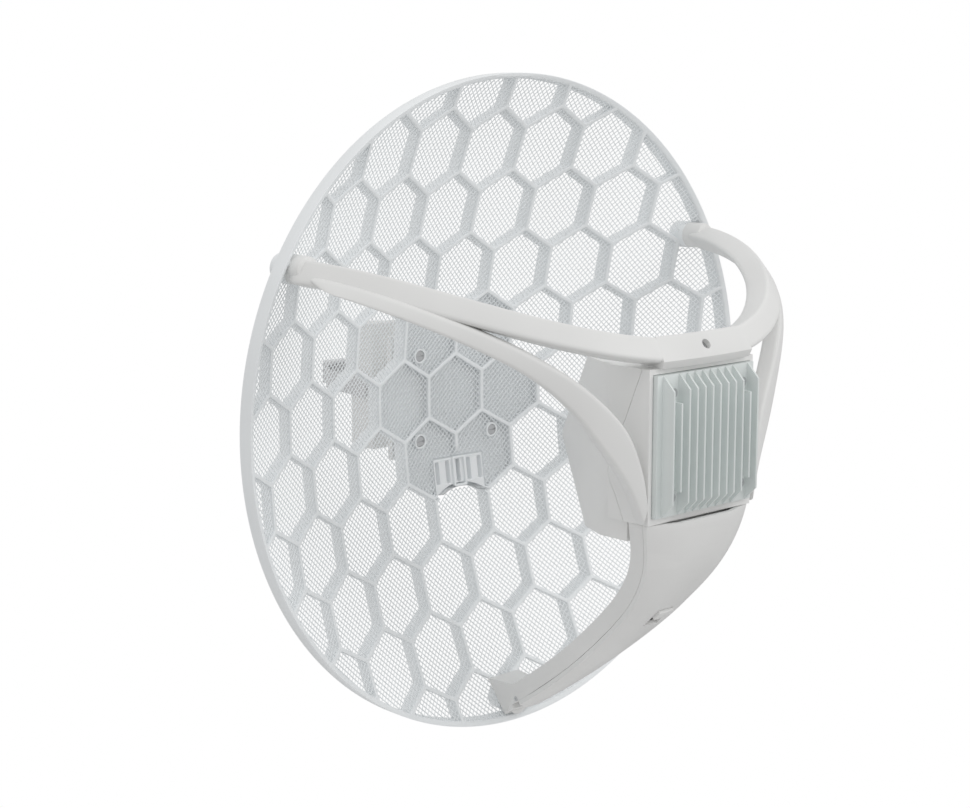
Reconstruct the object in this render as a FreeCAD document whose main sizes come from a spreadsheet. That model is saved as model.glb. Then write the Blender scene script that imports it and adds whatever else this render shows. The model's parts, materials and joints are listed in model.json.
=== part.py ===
"""Parabolic grid antenna with a feed unit carried on three arms and a pole mount.

Row frame: millimetres, +Z up, -Y towards the feed unit, origin on the pole's axis at the
middle of the clamp. Pieces of the antenna are modelled about the dish's vertex (the middle
of the grid's front surface) and placed pole_setback in front of the pole.
"""
import FreeCAD
import Part
import math
import os

from FreeCAD import Vector

os.makedirs("parts", exist_ok=True)
doc = FreeCAD.newDocument("grid_antenna")

DIMENSIONS = {
    "pole_setback": 88.0,
    "rim_radius": 195.5,
    "rim_wall": 3.0,
    "focal_length": 167.0,
    "rib_depth": 10.5,
    "rib_width": 2.4,
    "cell_pitch": 43.5,
    "screen_set_back": 1.0,
    "screen_thickness": 0.5,
    "floor_set_back": 4.6,
    "floor_thickness": 2.5,
    "boss_radius": 4.6,
    "boss_length": 11.0,
    "screw_recess_radius": 3.4,
    "screw_recess_depth": 4.0,
    "screw_spacing_x": 59.0,
    "screw_spacing_z": 52.6,
    "screw_radius": 1.85,
    "screw_hole_radius": 1.97,
    "foot_radius": 184.0,
    "pod_front": -200.6,
    "pod_half_width": 41.9,
    "pod_top": 42.3,
    "pod_bottom": -42.0,
    "pod_wall": 2.2,
    "sink_front": -203.6,
    "sink_base": 5.0,
    "sink_half_width": 38.9,
    "sink_top": 39.0,
    "sink_bottom": -38.0,
    "fin_front": -211.5,
    "fin_thickness": 1.2,
    "fin_pitch": 6.2,
    "fin_count": 12,
    "sink_screw_x": 28.2,
    "sink_screw_top": 29.1,
    "sink_screw_bottom": -27.5,
    "gasket_thickness": 1.5,
    "ledge_thickness": 2.4,
    "window_half": 23.0,
    "board_thickness": 1.6,
    "arm_half_span": 168.0,
    "arm_reach": 193.4,
    "cover_thickness": 2.6,
    "channel_depth": 13.0,
    "pin_radius": 1.5,
    "flange_thickness": 4.0,
    "ear_gap": 26.0,
    "ear_thickness": 6.0,
    "pivot_y": 35.0,
    "bolt_radius": 4.0,
    "pole_radius": 25.0,
    "band_width": 12.7,
    "band_thickness": 0.8,
    "fit_gap": 0.3,
}


def make_sheet():
    """Write the driving dimensions into a spreadsheet, one alias to a row."""
    sheet = doc.addObject("Spreadsheet::Sheet", "Dims")
    for row, (alias, value) in enumerate(DIMENSIONS.items(), start=1):
        sheet.set(f"A{row}", alias)
        sheet.set(f"B{row}", str(value))
        sheet.setAlias(f"B{row}", alias)
    doc.recompute()
    return sheet


sheet = make_sheet()
parts = []


def dim(alias):
    """Value of one driving dimension."""
    return float(sheet.get(alias))


def with_sheet(expression):
    """Turn 'a + b' in aliases into 'Dims.a + Dims.b'; plain numbers pass through."""
    words = str(expression).replace("(", "( ").replace(")", " )").split()
    return " ".join(f"Dims.{word}" if word in DIMENSIONS else word for word in words)


def place(obj, base):
    """Bind the three coordinates of obj's placement."""
    for axis, expression in zip("xyz", base):
        obj.setExpression(f"Placement.Base.{axis}", with_sheet(expression))


def block(name, corner, size):
    """Box with its lowest corner and its size given as expressions."""
    box = doc.addObject("Part::Box", name)
    for key, expression in zip(("Length", "Width", "Height"), size):
        box.setExpression(key, with_sheet(expression))
    place(box, corner)
    return box


TURNS = {"x": FreeCAD.Rotation(Vector(0, 1, 0), 90), "y": FreeCAD.Rotation(Vector(1, 0, 0), -90),
         "z": FreeCAD.Rotation()}


def rod(name, base, radius, length, axis):
    """Cylinder that starts at base and runs along +axis."""
    cylinder = doc.addObject("Part::Cylinder", name)
    cylinder.Placement = FreeCAD.Placement(Vector(), TURNS[axis])
    cylinder.setExpression("Radius", with_sheet(radius))
    cylinder.setExpression("Height", with_sheet(length))
    place(cylinder, base)
    return cylinder


def hexagon_rod(name, base, radius, length, axis):
    """Hexagonal prism that starts at base and runs along +axis."""
    prism = doc.addObject("Part::Prism", name)
    prism.Polygon = 6
    prism.Placement = FreeCAD.Placement(Vector(), TURNS[axis])
    prism.setExpression("Circumradius", with_sheet(radius))
    prism.setExpression("Height", with_sheet(length))
    place(prism, base)
    return prism


def join(name, pieces):
    """Fuse several objects."""
    fused = doc.addObject("Part::MultiFuse", name)
    fused.Shapes = pieces
    fused.Refine = True
    return fused


def group(name, pieces):
    """Keep several separate solids together in one object."""
    compound = doc.addObject("Part::Compound", name)
    compound.Links = pieces
    return compound


def subtract(name, base, tools):
    """Cut one or more tools from base."""
    cut = doc.addObject("Part::Cut", name)
    cut.Base = base
    cut.Tool = tools[0] if len(tools) == 1 else group(name + "_tools", tools)
    return cut


def computed(name, shape):
    """Object for a shape that Part's own functions make."""
    feature = doc.addObject("Part::Feature", name)
    feature.Shape = shape
    return feature


def finish(label, obj, on_antenna=True):
    """Name a finished piece and put it in the row frame."""
    obj.Label = label
    if on_antenna:
        own = dict(obj.ExpressionEngine).get(".Placement.Base.y", "0")
        obj.setExpression("Placement.Base.y", f"({own}) - Dims.pole_setback")
    parts.append(obj)
    return obj


# ---------------------------------------------------------------- PartDesign helpers

def origin_plane(body, role):
    """One of the body's own origin planes."""
    return next(item for item in body.Origin.OriginFeatures if item.Role == role)


def sketch_on(body, role, name, offset=0.0):
    """Sketch on an origin plane of the body, moved along its normal."""
    sketch = body.newObject("Sketcher::SketchObject", name)
    sketch.AttachmentSupport = [(origin_plane(body, role), "")]
    sketch.MapMode = "FlatFace"
    sketch.AttachmentOffset = FreeCAD.Placement(Vector(0, 0, offset), FreeCAD.Rotation())
    return sketch


def outline(sketch, points):
    """Closed polygon in a sketch."""
    for start, end in zip(points, points[1:] + points[:1]):
        sketch.addGeometry(Part.LineSegment(Vector(*start, 0), Vector(*end, 0)), False)


def circle(sketch, centre, radius):
    """Full circle in a sketch."""
    sketch.addGeometry(Part.Circle(Vector(*centre, 0), Vector(0, 0, 1), radius), False)


def pad(body, name, sketch, length, symmetric=False):
    """Pad a sketch by a bound length."""
    feature = body.newObject("PartDesign::Pad", name)
    feature.Profile = sketch
    feature.SideType = "Symmetric" if symmetric else "One side"
    feature.setExpression("Length", with_sheet(length))
    doc.recompute()
    return feature


def pocket(body, name, sketch, length, reverse=False, symmetric=False):
    """Pocket a sketch and make sure that it took material away."""
    before = body.Shape.Volume
    feature = body.newObject("PartDesign::Pocket", name)
    feature.Profile = sketch
    feature.SideType = "Symmetric" if symmetric else "One side"
    feature.Reversed = reverse
    feature.setExpression("Length", with_sheet(length))
    doc.recompute()
    if body.Shape.Volume > before - 1e-3:
        raise ValueError(f"{name} cuts nothing")
    return feature


# ---------------------------------------------------------------- reflector

def dish_y(radius):
    """Front surface of the grid at a distance from the axis."""
    return -radius ** 2 / (4 * dim("focal_length"))


def dish_layer(front, back, reach=197.0):
    """Solid between two copies of the dish surface, moved back by front and back."""
    radii = [reach * step / 10 for step in range(11)]
    front_curve = Part.BSplineCurve()
    front_curve.interpolate([Vector(r, dish_y(r) + front, 0) for r in radii])
    back_curve = Part.BSplineCurve()
    back_curve.interpolate([Vector(r, dish_y(r) + back, 0) for r in radii])
    edges = [
        front_curve.toShape(),
        Part.makeLine(Vector(reach, dish_y(reach) + front, 0), Vector(reach, dish_y(reach) + back, 0)),
        back_curve.toShape(),
        Part.makeLine(Vector(0, front, 0), Vector(0, back, 0)),
    ]
    face = Part.Face(Part.Wire(Part.__sortEdges__(edges)))
    return face.revolve(Vector(), Vector(0, 1, 0), 360)


def hexagon_face(x, z, circumradius):
    """Pointy-topped hexagon in the XZ plane."""
    corners = []
    for corner in range(6):
        angle = math.radians(90 + 60 * corner)
        corners.append(Vector(x + circumradius * math.cos(angle), 0, z + circumradius * math.sin(angle)))
    return Part.Face(Part.makePolygon(corners + corners[:1]))


def disc_face(radius, x=0.0, z=0.0):
    """Disc in the XZ plane."""
    return Part.Face(Part.Wire(Part.makeCircle(radius, Vector(x, 0, z), Vector(0, 1, 0))))


def rectangle_face(x_low, x_high, z_low, z_high):
    """Rectangle in the XZ plane."""
    corners = [Vector(x_low, 0, z_low), Vector(x_high, 0, z_low), Vector(x_high, 0, z_high),
               Vector(x_low, 0, z_high)]
    return Part.Face(Part.makePolygon(corners + corners[:1]))


def through(face, front=-70.0, back=20.0):
    """Prism of an XZ face, from front to back along Y."""
    moved = face.copy()
    moved.translate(Vector(0, front, 0))
    return moved.extrude(Vector(0, back - front, 0))


def cell_centres():
    """Centres of the hexagonal cells that reach inside the rim."""
    pitch = dim("cell_pitch")
    row_pitch = pitch * math.sqrt(3) / 2
    centres = []
    for row in range(-6, 7):
        for column in range(-6, 7):
            x = pitch * (column + 0.5 * (row % 2))
            z = row_pitch * row
            if math.hypot(x, z) < dim("rim_radius") + 20:
                centres.append((x, z))
    return centres


def boss_places():
    """Places of the four screws that hold the rear bracket."""
    x = dim("screw_spacing_x") / 2
    z = dim("screw_spacing_z") / 2
    return [(-x, -z), (-x, z), (x, -z), (x, z)]


def foot_places():
    """Places of the three arm feet, 120 degrees apart."""
    reach = dim("foot_radius")
    return [(reach * math.cos(math.radians(a)), reach * math.sin(math.radians(a))) for a in (30, 150, 270)]


def foot_seat():
    """Y of the bosses' front faces, where the arm feet sit."""
    return dish_y(dim("foot_radius")) + dim("screen_set_back")


def foot_pilot(x, z):
    """Hole in an arm's foot for the thread of its screw."""
    return Part.makeCylinder(dim("screw_radius"), 8.0, Vector(x, foot_seat() - 7.0, z), Vector(0, 1, 0))


def grid_clearance(x, z):
    """Space of the grid and of one foot boss that an arm keeps out of, open in front of the boss."""
    way_in = Part.makeCylinder(FOOT_POST_RADIUS, 60.0, Vector(x, foot_seat() - 60.0, z), Vector(0, 1, 0))
    radius = FOOT_BOSS_RADIUS + dim("fit_gap")
    boss = Part.makeCylinder(radius, 25.0, Vector(x, foot_seat(), z), Vector(0, 1, 0))
    return dish_layer(-dim("fit_gap"), 25.0, 205.0).cut(way_in).fuse(boss)


ARC_RADIUS = 35.0
ARC_CENTRE_Z = -90.5
VENT_HALF_WIDTH = 20.0
VENT_TOP = -39.5
VENT_BOTTOM = -63.0
SLOT_PITCH = 8.7
SLOT_WIDTH = 3.2
FOOT_BOSS_RADIUS = 8.4
FOOT_POST_RADIUS = 8.0
FOOT_SCREW_HEAD_ROOM = 4.0


def vent_panel_face():
    """Panel below the middle cell that carries the cable slots, with a hollow arc for its lower edge."""
    panel = rectangle_face(-VENT_HALF_WIDTH, VENT_HALF_WIDTH, VENT_BOTTOM, VENT_TOP)
    return panel.cut(disc_face(ARC_RADIUS, 0, ARC_CENTRE_Z))


def vent_slots():
    """Five upright slots through the vent panel."""
    slots = []
    for index in range(-2, 3):
        x = index * SLOT_PITCH
        slots.append(through(rectangle_face(x - SLOT_WIDTH / 2, x + SLOT_WIDTH / 2, -55, -41)))
    return slots


def rib_net():
    """Rim and ribs as one prism with a hole for each cell."""
    opening = dim("cell_pitch") / math.sqrt(3) - dim("rib_width") / math.sqrt(3)
    inside = disc_face(dim("rim_radius") - dim("rim_wall"))
    below_vent = disc_face(ARC_RADIUS - dim("rib_width"), 0, ARC_CENTRE_Z)
    lower_cell_z = -2 * dim("cell_pitch") * math.sqrt(3) / 2
    holes = []
    for x, z in cell_centres():
        hole = hexagon_face(x, z, opening).common(inside)
        if abs(x) < 1 and abs(z - lower_cell_z) < 1:
            hole = hole.common(below_vent)
        if hole.Area > 25:
            holes.append(hole)
    net = disc_face(dim("rim_radius")).cut(Part.makeCompound(holes))
    return through(net)


def floor_prism():
    """Prism over the seven middle cells, whose hexagons overlap inside the ribs between them."""
    side = dim("cell_pitch") / math.sqrt(3) + 0.25 * dim("rib_width")
    near = [(x, z) for x, z in cell_centres() if math.hypot(x, z) < 1.1 * dim("cell_pitch")]
    cells = [through(hexagon_face(x, z, side)) for x, z in near]
    return cells[0].multiFuse(cells[1:])


def make_reflector_frame():
    """Round rim, ribs, solid floor behind the middle cells, screw bosses and cable vent."""
    shape = rib_net().common(dish_layer(0, dim("rib_depth")))
    panel = through(vent_panel_face())
    shape = shape.cut(panel.common(dish_layer(-2, dim("screen_set_back"))))
    floor_back = dim("floor_set_back") + dim("floor_thickness")
    floor = floor_prism().common(dish_layer(dim("floor_set_back"), floor_back))
    vent = panel.common(dish_layer(dim("screen_set_back"), floor_back))
    additions = [vent]
    for x, z in boss_places():
        front = dish_y(math.hypot(x, z)) + dim("screen_set_back")
        depth = dim("boss_length") - front
        additions.append(Part.makeCylinder(dim("boss_radius"), depth, Vector(x, front, z), Vector(0, 1, 0)))
    additions.append(through(rectangle_face(-5.2, 5.2, -57.5, -39.0), -4.0, 6.0))
    feet = []
    for x, z in foot_places():
        feet.append(Part.makeCylinder(FOOT_BOSS_RADIUS, 11.0, Vector(x, foot_seat(), z), Vector(0, 1, 0)))
    shape = shape.fuse(floor.multiFuse(additions)).multiFuse(feet)
    tools = vent_slots()
    tools.append(through(rectangle_face(-4.0, 4.0, -56.2, -40.2), -5.0, 0.0))
    for x, z in boss_places():
        mouth = Vector(x, dish_y(math.hypot(x, z)), z)
        depth = dim("screw_recess_depth")
        tools.append(Part.makeCylinder(dim("screw_recess_radius"), depth, mouth, Vector(0, 1, 0)))
        tools.append(Part.makeCylinder(dim("screw_hole_radius"), 20.0, Vector(x, -4, z), Vector(0, 1, 0)))
    seat = foot_seat()
    for x, z in foot_places():
        tools.append(Part.makeCylinder(dim("screw_hole_radius"), 30.0, Vector(x, -60, z), Vector(0, 1, 0)))
        tools.append(Part.makeCylinder(FOOT_POST_RADIUS + 0.3, 20.0, Vector(x, seat - 20.0, z), Vector(0, 1, 0)))
        tools.append(Part.makeCylinder(FOOT_SCREW_HEAD_ROOM, 8.0, Vector(x, seat + 11.0, z), Vector(0, 1, 0)))
    shape = shape.cut(Part.makeCompound(tools))
    finish("reflector_frame", computed("ReflectorFrame", shape))


def make_reflector_screen():
    """Wire screen moulded into the ribs, kept here as a thin skin of its outer shape."""
    front = dim("screen_set_back")
    layer = dish_layer(front, front + dim("screen_thickness"))
    skin = layer.common(through(disc_face(dim("rim_radius") - 0.5 * dim("rim_wall"))))
    tools = [through(vent_panel_face())]
    for x, z in boss_places():
        tools.append(Part.makeCylinder(dim("boss_radius"), 40, Vector(x, -20, z), Vector(0, 1, 0)))
    for x, z in foot_places():
        tools.append(Part.makeCylinder(FOOT_BOSS_RADIUS, 80, Vector(x, -60, z), Vector(0, 1, 0)))
    finish("reflector_screen", computed("ReflectorScreen", skin.cut(Part.makeCompound(tools))))


def make_bracket_screws():
    """Four slotted screws, seen from the front inside their bosses."""
    screws = []
    for index, (x, z) in enumerate(boss_places()):
        seat = dish_y(math.hypot(x, z)) + dim("screw_recess_depth")
        head = rod(f"BracketScrewHead{index}", (x, seat - 2.4, z), 3.1, 2.4, "y")
        length = f"boss_length + flange_thickness - {seat + 1}"
        shank = rod(f"BracketScrewShank{index}", (x, seat, z), "screw_radius", length, "y")
        slot = block(f"BracketScrewSlot{index}", (x - 4, seat - 3, z - 0.4), (8, 1.6, 0.8))
        blank = join(f"BracketScrewBlank{index}", [head, shank])
        screws.append(subtract(f"BracketScrew{index}", blank, [slot]))
    finish("bracket_screws", group("BracketScrews", screws))


def make_foot_screws():
    """Three screws from behind that hold the arm feet."""
    screws = []
    back = foot_seat() + 11.0
    for index, (x, z) in enumerate(foot_places()):
        head = rod(f"FootScrewHead{index}", (x, back, z), 3.6, 2.6, "y")
        shank = rod(f"FootScrewShank{index}", (x, back - 17.0, z), "screw_radius", 17.0, "y")
        socket = rod(f"FootScrewSocket{index}", (x, back + 1.2, z), 1.6, 2.0, "y")
        screws.append(subtract(f"FootScrew{index}", join(f"FootScrewBlank{index}", [head, shank]), [socket]))
    finish("arm_foot_screws", group("FootScrews", screws))


# ---------------------------------------------------------------- side arms and saddle

ARM_CENTRE_Y = -7.4
LOOP_FOOT_Z = 98.5
LOOP_FRONT_Z = 58.9
LOOP_SEAM_ANGLE = 11.6
LOOP_FOOT_ANGLE = 76.9
# Upper and lower edge of the lower branch's outer face, from the foot to the housing: x and z of each.
LOWER_BRANCH = [(169.0, 91.0, 171.0, 84.0), (150.0, 82.0, 154.0, 74.0), (120.0, 65.0, 126.0, 57.0),
                (97.5, 50.7, 104.0, 42.0), (75.4, 33.6, 85.0, 24.0), (56.0, 12.0, 69.0, 2.5),
                (46.5, -10.0, 54.0, -20.0), (43.0, -30.0, 45.0, -41.0)]


def on_arm(x, half_span, reach):
    """Y of an arm's curve, an ellipse in plan, at a distance x from the middle."""
    return ARM_CENTRE_Y - reach * math.sqrt(max(0.0, 1 - (x / half_span) ** 2))


def loop_point(angle):
    """Crest of the upper branch: a point of the plan ellipse at its own height."""
    x = dim("arm_half_span") * math.sin(math.radians(angle))
    y = ARM_CENTRE_Y - dim("arm_reach") * math.cos(math.radians(angle))
    y_foot = ARM_CENTRE_Y - dim("arm_reach") * math.cos(math.radians(LOOP_FOOT_ANGLE))
    y_front = ARM_CENTRE_Y - dim("arm_reach") * math.cos(math.radians(LOOP_SEAM_ANGLE))
    share = (y_foot - y) / (y_foot - y_front)
    z = LOOP_FOOT_Z - (LOOP_FOOT_Z - LOOP_FRONT_Z) * max(0.0, share) ** 1.9
    return Vector(x, y, z)


def outward(x, y):
    """Unit vector that points away from the middle of the arms' plan ellipse."""
    normal = Vector(x / dim("arm_half_span") ** 2, (y - ARM_CENTRE_Y) / dim("arm_reach") ** 2, 0)
    return normal.normalize()


def ring(points):
    """Closed wire through points."""
    return Part.makePolygon(points + points[:1])


def upper_section(angle):
    """Roof-shaped section of the upper branch."""
    crest = loop_point(angle)
    out = outward(crest.x, crest.y)
    up = Vector(0, 0, 1)
    return ring([crest, crest + out * 8.5 - up * 12.5, crest - out * 3 - up * 15.5, crest - out * 14 - up * 6])


def lower_section(station):
    """Band-shaped section of the lower branch."""
    x_up, z_up, x_low, z_low = station
    upper = Vector(x_up, on_arm(x_up, 177.0, 201.0), z_up)
    lower = Vector(x_low, on_arm(x_low, 185.0, 199.4), z_low)
    out = outward(x_up, upper.y)
    return ring([upper, lower, lower - out * 10, upper - out * 10])


def right_arm_shape():
    """Forked arm: both branches start at the foot on the rim."""
    angles = [LOOP_SEAM_ANGLE, 20, 30, 42, 54, 66, LOOP_FOOT_ANGLE]
    upper = Part.makeLoft([upper_section(angle) for angle in angles], True, False)
    lower = Part.makeLoft([lower_section(station) for station in LOWER_BRANCH], True, False)
    foot_x, foot_z = foot_places()[0]
    seat = foot_seat()
    foot = Part.makeCylinder(FOOT_POST_RADIUS, 20.0, Vector(foot_x, seat - 20.0, foot_z), Vector(0, 1, 0))
    shape = upper.fuse([lower, foot]).cut(grid_clearance(foot_x, foot_z))
    return shape.cut(foot_pilot(foot_x, foot_z))


def make_side_arms(pod):
    """Right arm and its mirror image, trimmed where they meet the feed housing."""
    shape = right_arm_shape().cut(pod)
    finish("right_arm", computed("RightArm", shape))
    finish("left_arm", computed("LeftArm", shape.mirror(Vector(), Vector(1, 0, 0))))


def saddle_section(crest, out):
    """Section of the saddle: the arm's roof shape, filled down to the top of the feed housing."""
    down = dim("pod_top") - crest.z
    up = Vector(0, 0, 1)
    return ring([crest, crest + out * 8.5 - up * 12.5, crest + out * 6.5 + up * down, crest - out * 14 + up * down,
                 crest - out * 14 - up * 6])


def make_saddle():
    """Piece that closes the loop over the top of the feed housing, with a sunk screw hole."""
    end = loop_point(LOOP_SEAM_ANGLE)
    out = outward(end.x, end.y)
    left = saddle_section(Vector(-end.x, end.y, end.z), Vector(-out.x, out.y, 0))
    middle = saddle_section(Vector(0, end.y - 1.8, end.z), Vector(0, -1, 0))
    right = saddle_section(end, out)
    body = Part.makeLoft([left, middle, right], True, False)
    lean = Vector(0, 0.83, -0.56).normalize()
    mouth = Vector(0, end.y - 6.2, end.z - 6.2)
    recess = Part.makeCylinder(2.9, 8.0, mouth - lean * 3, lean)
    pilot = Part.makeCylinder(1.5, 16.5, mouth, lean)
    finish("top_saddle", computed("Saddle", body.cut([recess, pilot])))
    head = Part.makeCylinder(2.7, 2.0, mouth + lean * 3.0, lean)
    shank = Part.makeCylinder(1.35, 12.0, mouth + lean * 3.5, lean)
    socket = Part.makeCylinder(1.3, 1.4, mouth + lean * 2.9, lean)
    finish("saddle_screw", computed("SaddleScrew", head.fuse(shank).cut(socket)))


# ---------------------------------------------------------------- feed unit

def prism_x(points, half_width):
    """Prism along X of a polygon of (y, z) points."""
    face = Part.Face(ring([Vector(-half_width, y, z) for y, z in points]))
    return face.extrude(Vector(2 * half_width, 0, 0))


def pod_shape(inset):
    """Faceted feed housing as one solid, all faces moved in by inset."""
    front = dim("pod_front") + inset
    top = dim("pod_top") - inset
    bottom = dim("pod_bottom") + inset
    width = dim("pod_half_width") - inset
    chin = -54 + inset
    side = prism_x([(front, top), (-143 - inset, top), (-109 - inset, -6), (-109 - inset, -9), (-142 - inset, chin),
                    (-182 + inset, chin), (-184 + inset, bottom), (front, bottom)], 60)
    plan_points = [(-width, front), (-width - 3, -178), (inset - 15, -109 - inset), (15 - inset, -109 - inset),
                   (width + 3, -178), (width, front)]
    plan = Part.Face(ring([Vector(x, y, -60) for x, y in plan_points])).extrude(Vector(0, 0, 120))
    upright = [(-width + 4, top), (-width - 3, -8), (-width + 4, chin), (width - 4, chin), (width + 3, -8),
               (width - 4, top)]
    sides = Part.Face(ring([Vector(x, -230, z) for x, z in upright])).extrude(Vector(0, 140, 0))
    straight = Part.makeBox(2 * width, 30, top - bottom, Vector(-width, front, bottom))
    return side.common(plan).common(sides.fuse(straight)).removeSplitter()


def front_region(shift):
    """Space in front of the joint between housing and rear cover, an open V in side view."""
    points = [(-240, 70), (-197 + shift, 70), (-197 + shift, 46), (-171 + shift, -16), (-184 + shift, -44),
              (-184 + shift, -70), (-240, -70)]
    return prism_x(points, 80)


def ledge_front():
    """Y of the ledge that carries the gasket and the heatsink."""
    return dim("sink_front") + dim("sink_base") + dim("gasket_thickness")


def sink_screw_places():
    """Corner screws of the heatsink."""
    x = dim("sink_screw_x")
    return [(sx * x, z) for sx in (-1, 1) for z in (dim("sink_screw_top"), dim("sink_screw_bottom"))]


SOCKET_BOX = (-20.0, -194.5, -41.0, 17.5, 13.8, 17.2)
BUTTON_X = 4.0
BUTTON_Y = -189.4
CARD_X = 8.7
CARD_Y = -190.75


def port_openings():
    """Openings in the floor of the feed unit for socket, button and card."""
    x, y, z, width, depth = SOCKET_BOX[:5]
    return Part.makeCompound([
        Part.makeBox(width, depth, 12.0, Vector(x, y, z - 9.0)),
        Part.makeCylinder(2.1, 20.0, Vector(BUTTON_X, BUTTON_Y, -50), Vector(0, 0, 1)),
        Part.makeBox(13.6, 1.7, 20.0, Vector(CARD_X - 0.5, CARD_Y - 0.4, -50)),
    ])


def make_feed_housing():
    """Front half of the feed unit: rim round the heatsink, ledge, and the opening for the socket below."""
    outer = pod_shape(0).common(front_region(0))
    hollow = pod_shape(dim("pod_wall"))
    back = ledge_front() + dim("ledge_thickness")
    behind = Part.makeBox(200, 120, 200, Vector(-100, back, -100))
    shape = outer.cut(hollow.common(behind))
    gap = dim("fit_gap")
    width = dim("sink_half_width") + gap
    low = dim("sink_bottom") - gap
    high = dim("sink_top") + gap
    recess = Part.makeBox(2 * width, 20, high - low, Vector(-width, ledge_front() - 20, low))
    half = dim("window_half")
    window = Part.makeBox(2 * half, 60, 2 * half, Vector(-half, -230, -half))
    shape = shape.cut(Part.makeCompound([recess, window])).cut(port_openings())
    posts = [Part.makeCylinder(3.6, 6.0, Vector(x, back - 0.1, z), Vector(0, 1, 0)) for x, z in sink_screw_places()]
    holes = [Part.makeCylinder(1.5, 8.0, Vector(x, back - 4.0, z), Vector(0, 1, 0)) for x, z in sink_screw_places()]
    finish("feed_housing", computed("FeedHousing", shape.fuse(posts).cut(Part.makeCompound(holes))))


def make_rear_cover():
    """Back half of the feed unit, the window that the radio waves pass."""
    shape = pod_shape(0).cut(front_region(dim("fit_gap"))).cut(pod_shape(dim("pod_wall"))).cut(port_openings())
    finish("rear_cover", computed("RearCover", shape))


def make_heatsink():
    """Die-cast heatsink: base plate, upright fins with sloping ends, short fins beside the screws."""
    body = doc.addObject("PartDesign::Body", "Heatsink")
    front = dim("sink_front")
    back = front + dim("sink_base")
    low = dim("sink_bottom")
    high = dim("sink_top")
    base = sketch_on(body, "YZ_Plane", "SinkBase")
    outline(base, [(front, low), (back, low), (back, high), (front, high)])
    pad(body, "SinkBasePad", base, "sink_half_width * 2", symmetric=True)
    first = -dim("fin_pitch") * (dim("fin_count") - 1) / 2 - dim("fin_thickness") / 2
    fin = sketch_on(body, "YZ_Plane", "SinkFin", first)
    slope = front - dim("fin_front")
    tip = dim("fin_front")
    outline(fin, [(front + 1, low), (front, low), (tip, low + slope), (tip, high - slope), (front, high),
                  (front + 1, high)])
    fin_pad = pad(body, "SinkFinPad", fin, "fin_thickness")
    pattern = body.newObject("PartDesign::LinearPattern", "SinkFins")
    pattern.Originals = [fin_pad]
    pattern.Direction = (fin, ["N_Axis"])
    pattern.setExpression("Length", "Dims.fin_pitch * (Dims.fin_count - 1)")
    pattern.setExpression("Occurrences", "Dims.fin_count")
    body.Tip = pattern
    doc.recompute()
    relief = sketch_on(body, "XZ_Plane", "SinkRelief", -front)
    for side in (-1, 1):
        middle = side * dim("fin_pitch") * (dim("fin_count") - 3) / 2
        outline(relief, [(middle - 2, 24.4), (middle + 2, 24.4), (middle + 2, high + 1), (middle - 2, high + 1)])
        outline(relief, [(middle - 2, low - 1), (middle + 2, low - 1), (middle + 2, -23.5), (middle - 2, -23.5)])
    pocket(body, "SinkReliefCut", relief, "10", reverse=True)
    holes = sketch_on(body, "XZ_Plane", "SinkHoles", -front)
    for place_xz in sink_screw_places():
        circle(holes, place_xz, 1.7)
    pocket(body, "SinkHolesCut", holes, "10")
    finish("heatsink", body)


def make_sink_screws():
    """Four pan-head corner screws of the heatsink."""
    screws = []
    for index, (x, z) in enumerate(sink_screw_places()):
        head = rod(f"SinkScrewHead{index}", (x, "sink_front - 2.0", z), 2.7, 2.0, "y")
        shank = rod(f"SinkScrewShank{index}", (x, "sink_front", z), 1.45, 11.0, "y")
        cross_one = block(f"SinkScrewCrossA{index}", (x - 1.5, "sink_front - 2.2", z - 0.35), (3.0, 1.2, 0.7))
        cross_two = block(f"SinkScrewCrossB{index}", (x - 0.35, "sink_front - 2.2", z - 1.5), (0.7, 1.2, 3.0))
        blank = join(f"SinkScrewBlank{index}", [head, shank])
        screws.append(subtract(f"SinkScrew{index}", blank, [cross_one, cross_two]))
    finish("heatsink_screws", group("SinkScrews", screws))


def make_gasket():
    """Square seal between heatsink and housing."""
    outer = block("GasketOuter", ("0 - sink_half_width", "sink_front + sink_base", "sink_bottom"),
                  ("sink_half_width * 2", "gasket_thickness", "sink_top - sink_bottom"))
    inner = block("GasketInner", ("4 - sink_half_width", "sink_front + sink_base - 1", "sink_bottom + 4"),
                  ("sink_half_width * 2 - 8", "gasket_thickness + 2", "sink_top - sink_bottom - 8"))
    finish("heatsink_gasket", subtract("Gasket", outer, [inner]))


PAD_THICKNESS = 2.0
CAN_HEIGHT = 3.0


def board_front():
    """Front face of the main board."""
    return dim("sink_front") + dim("sink_base") + PAD_THICKNESS + CAN_HEIGHT


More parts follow.
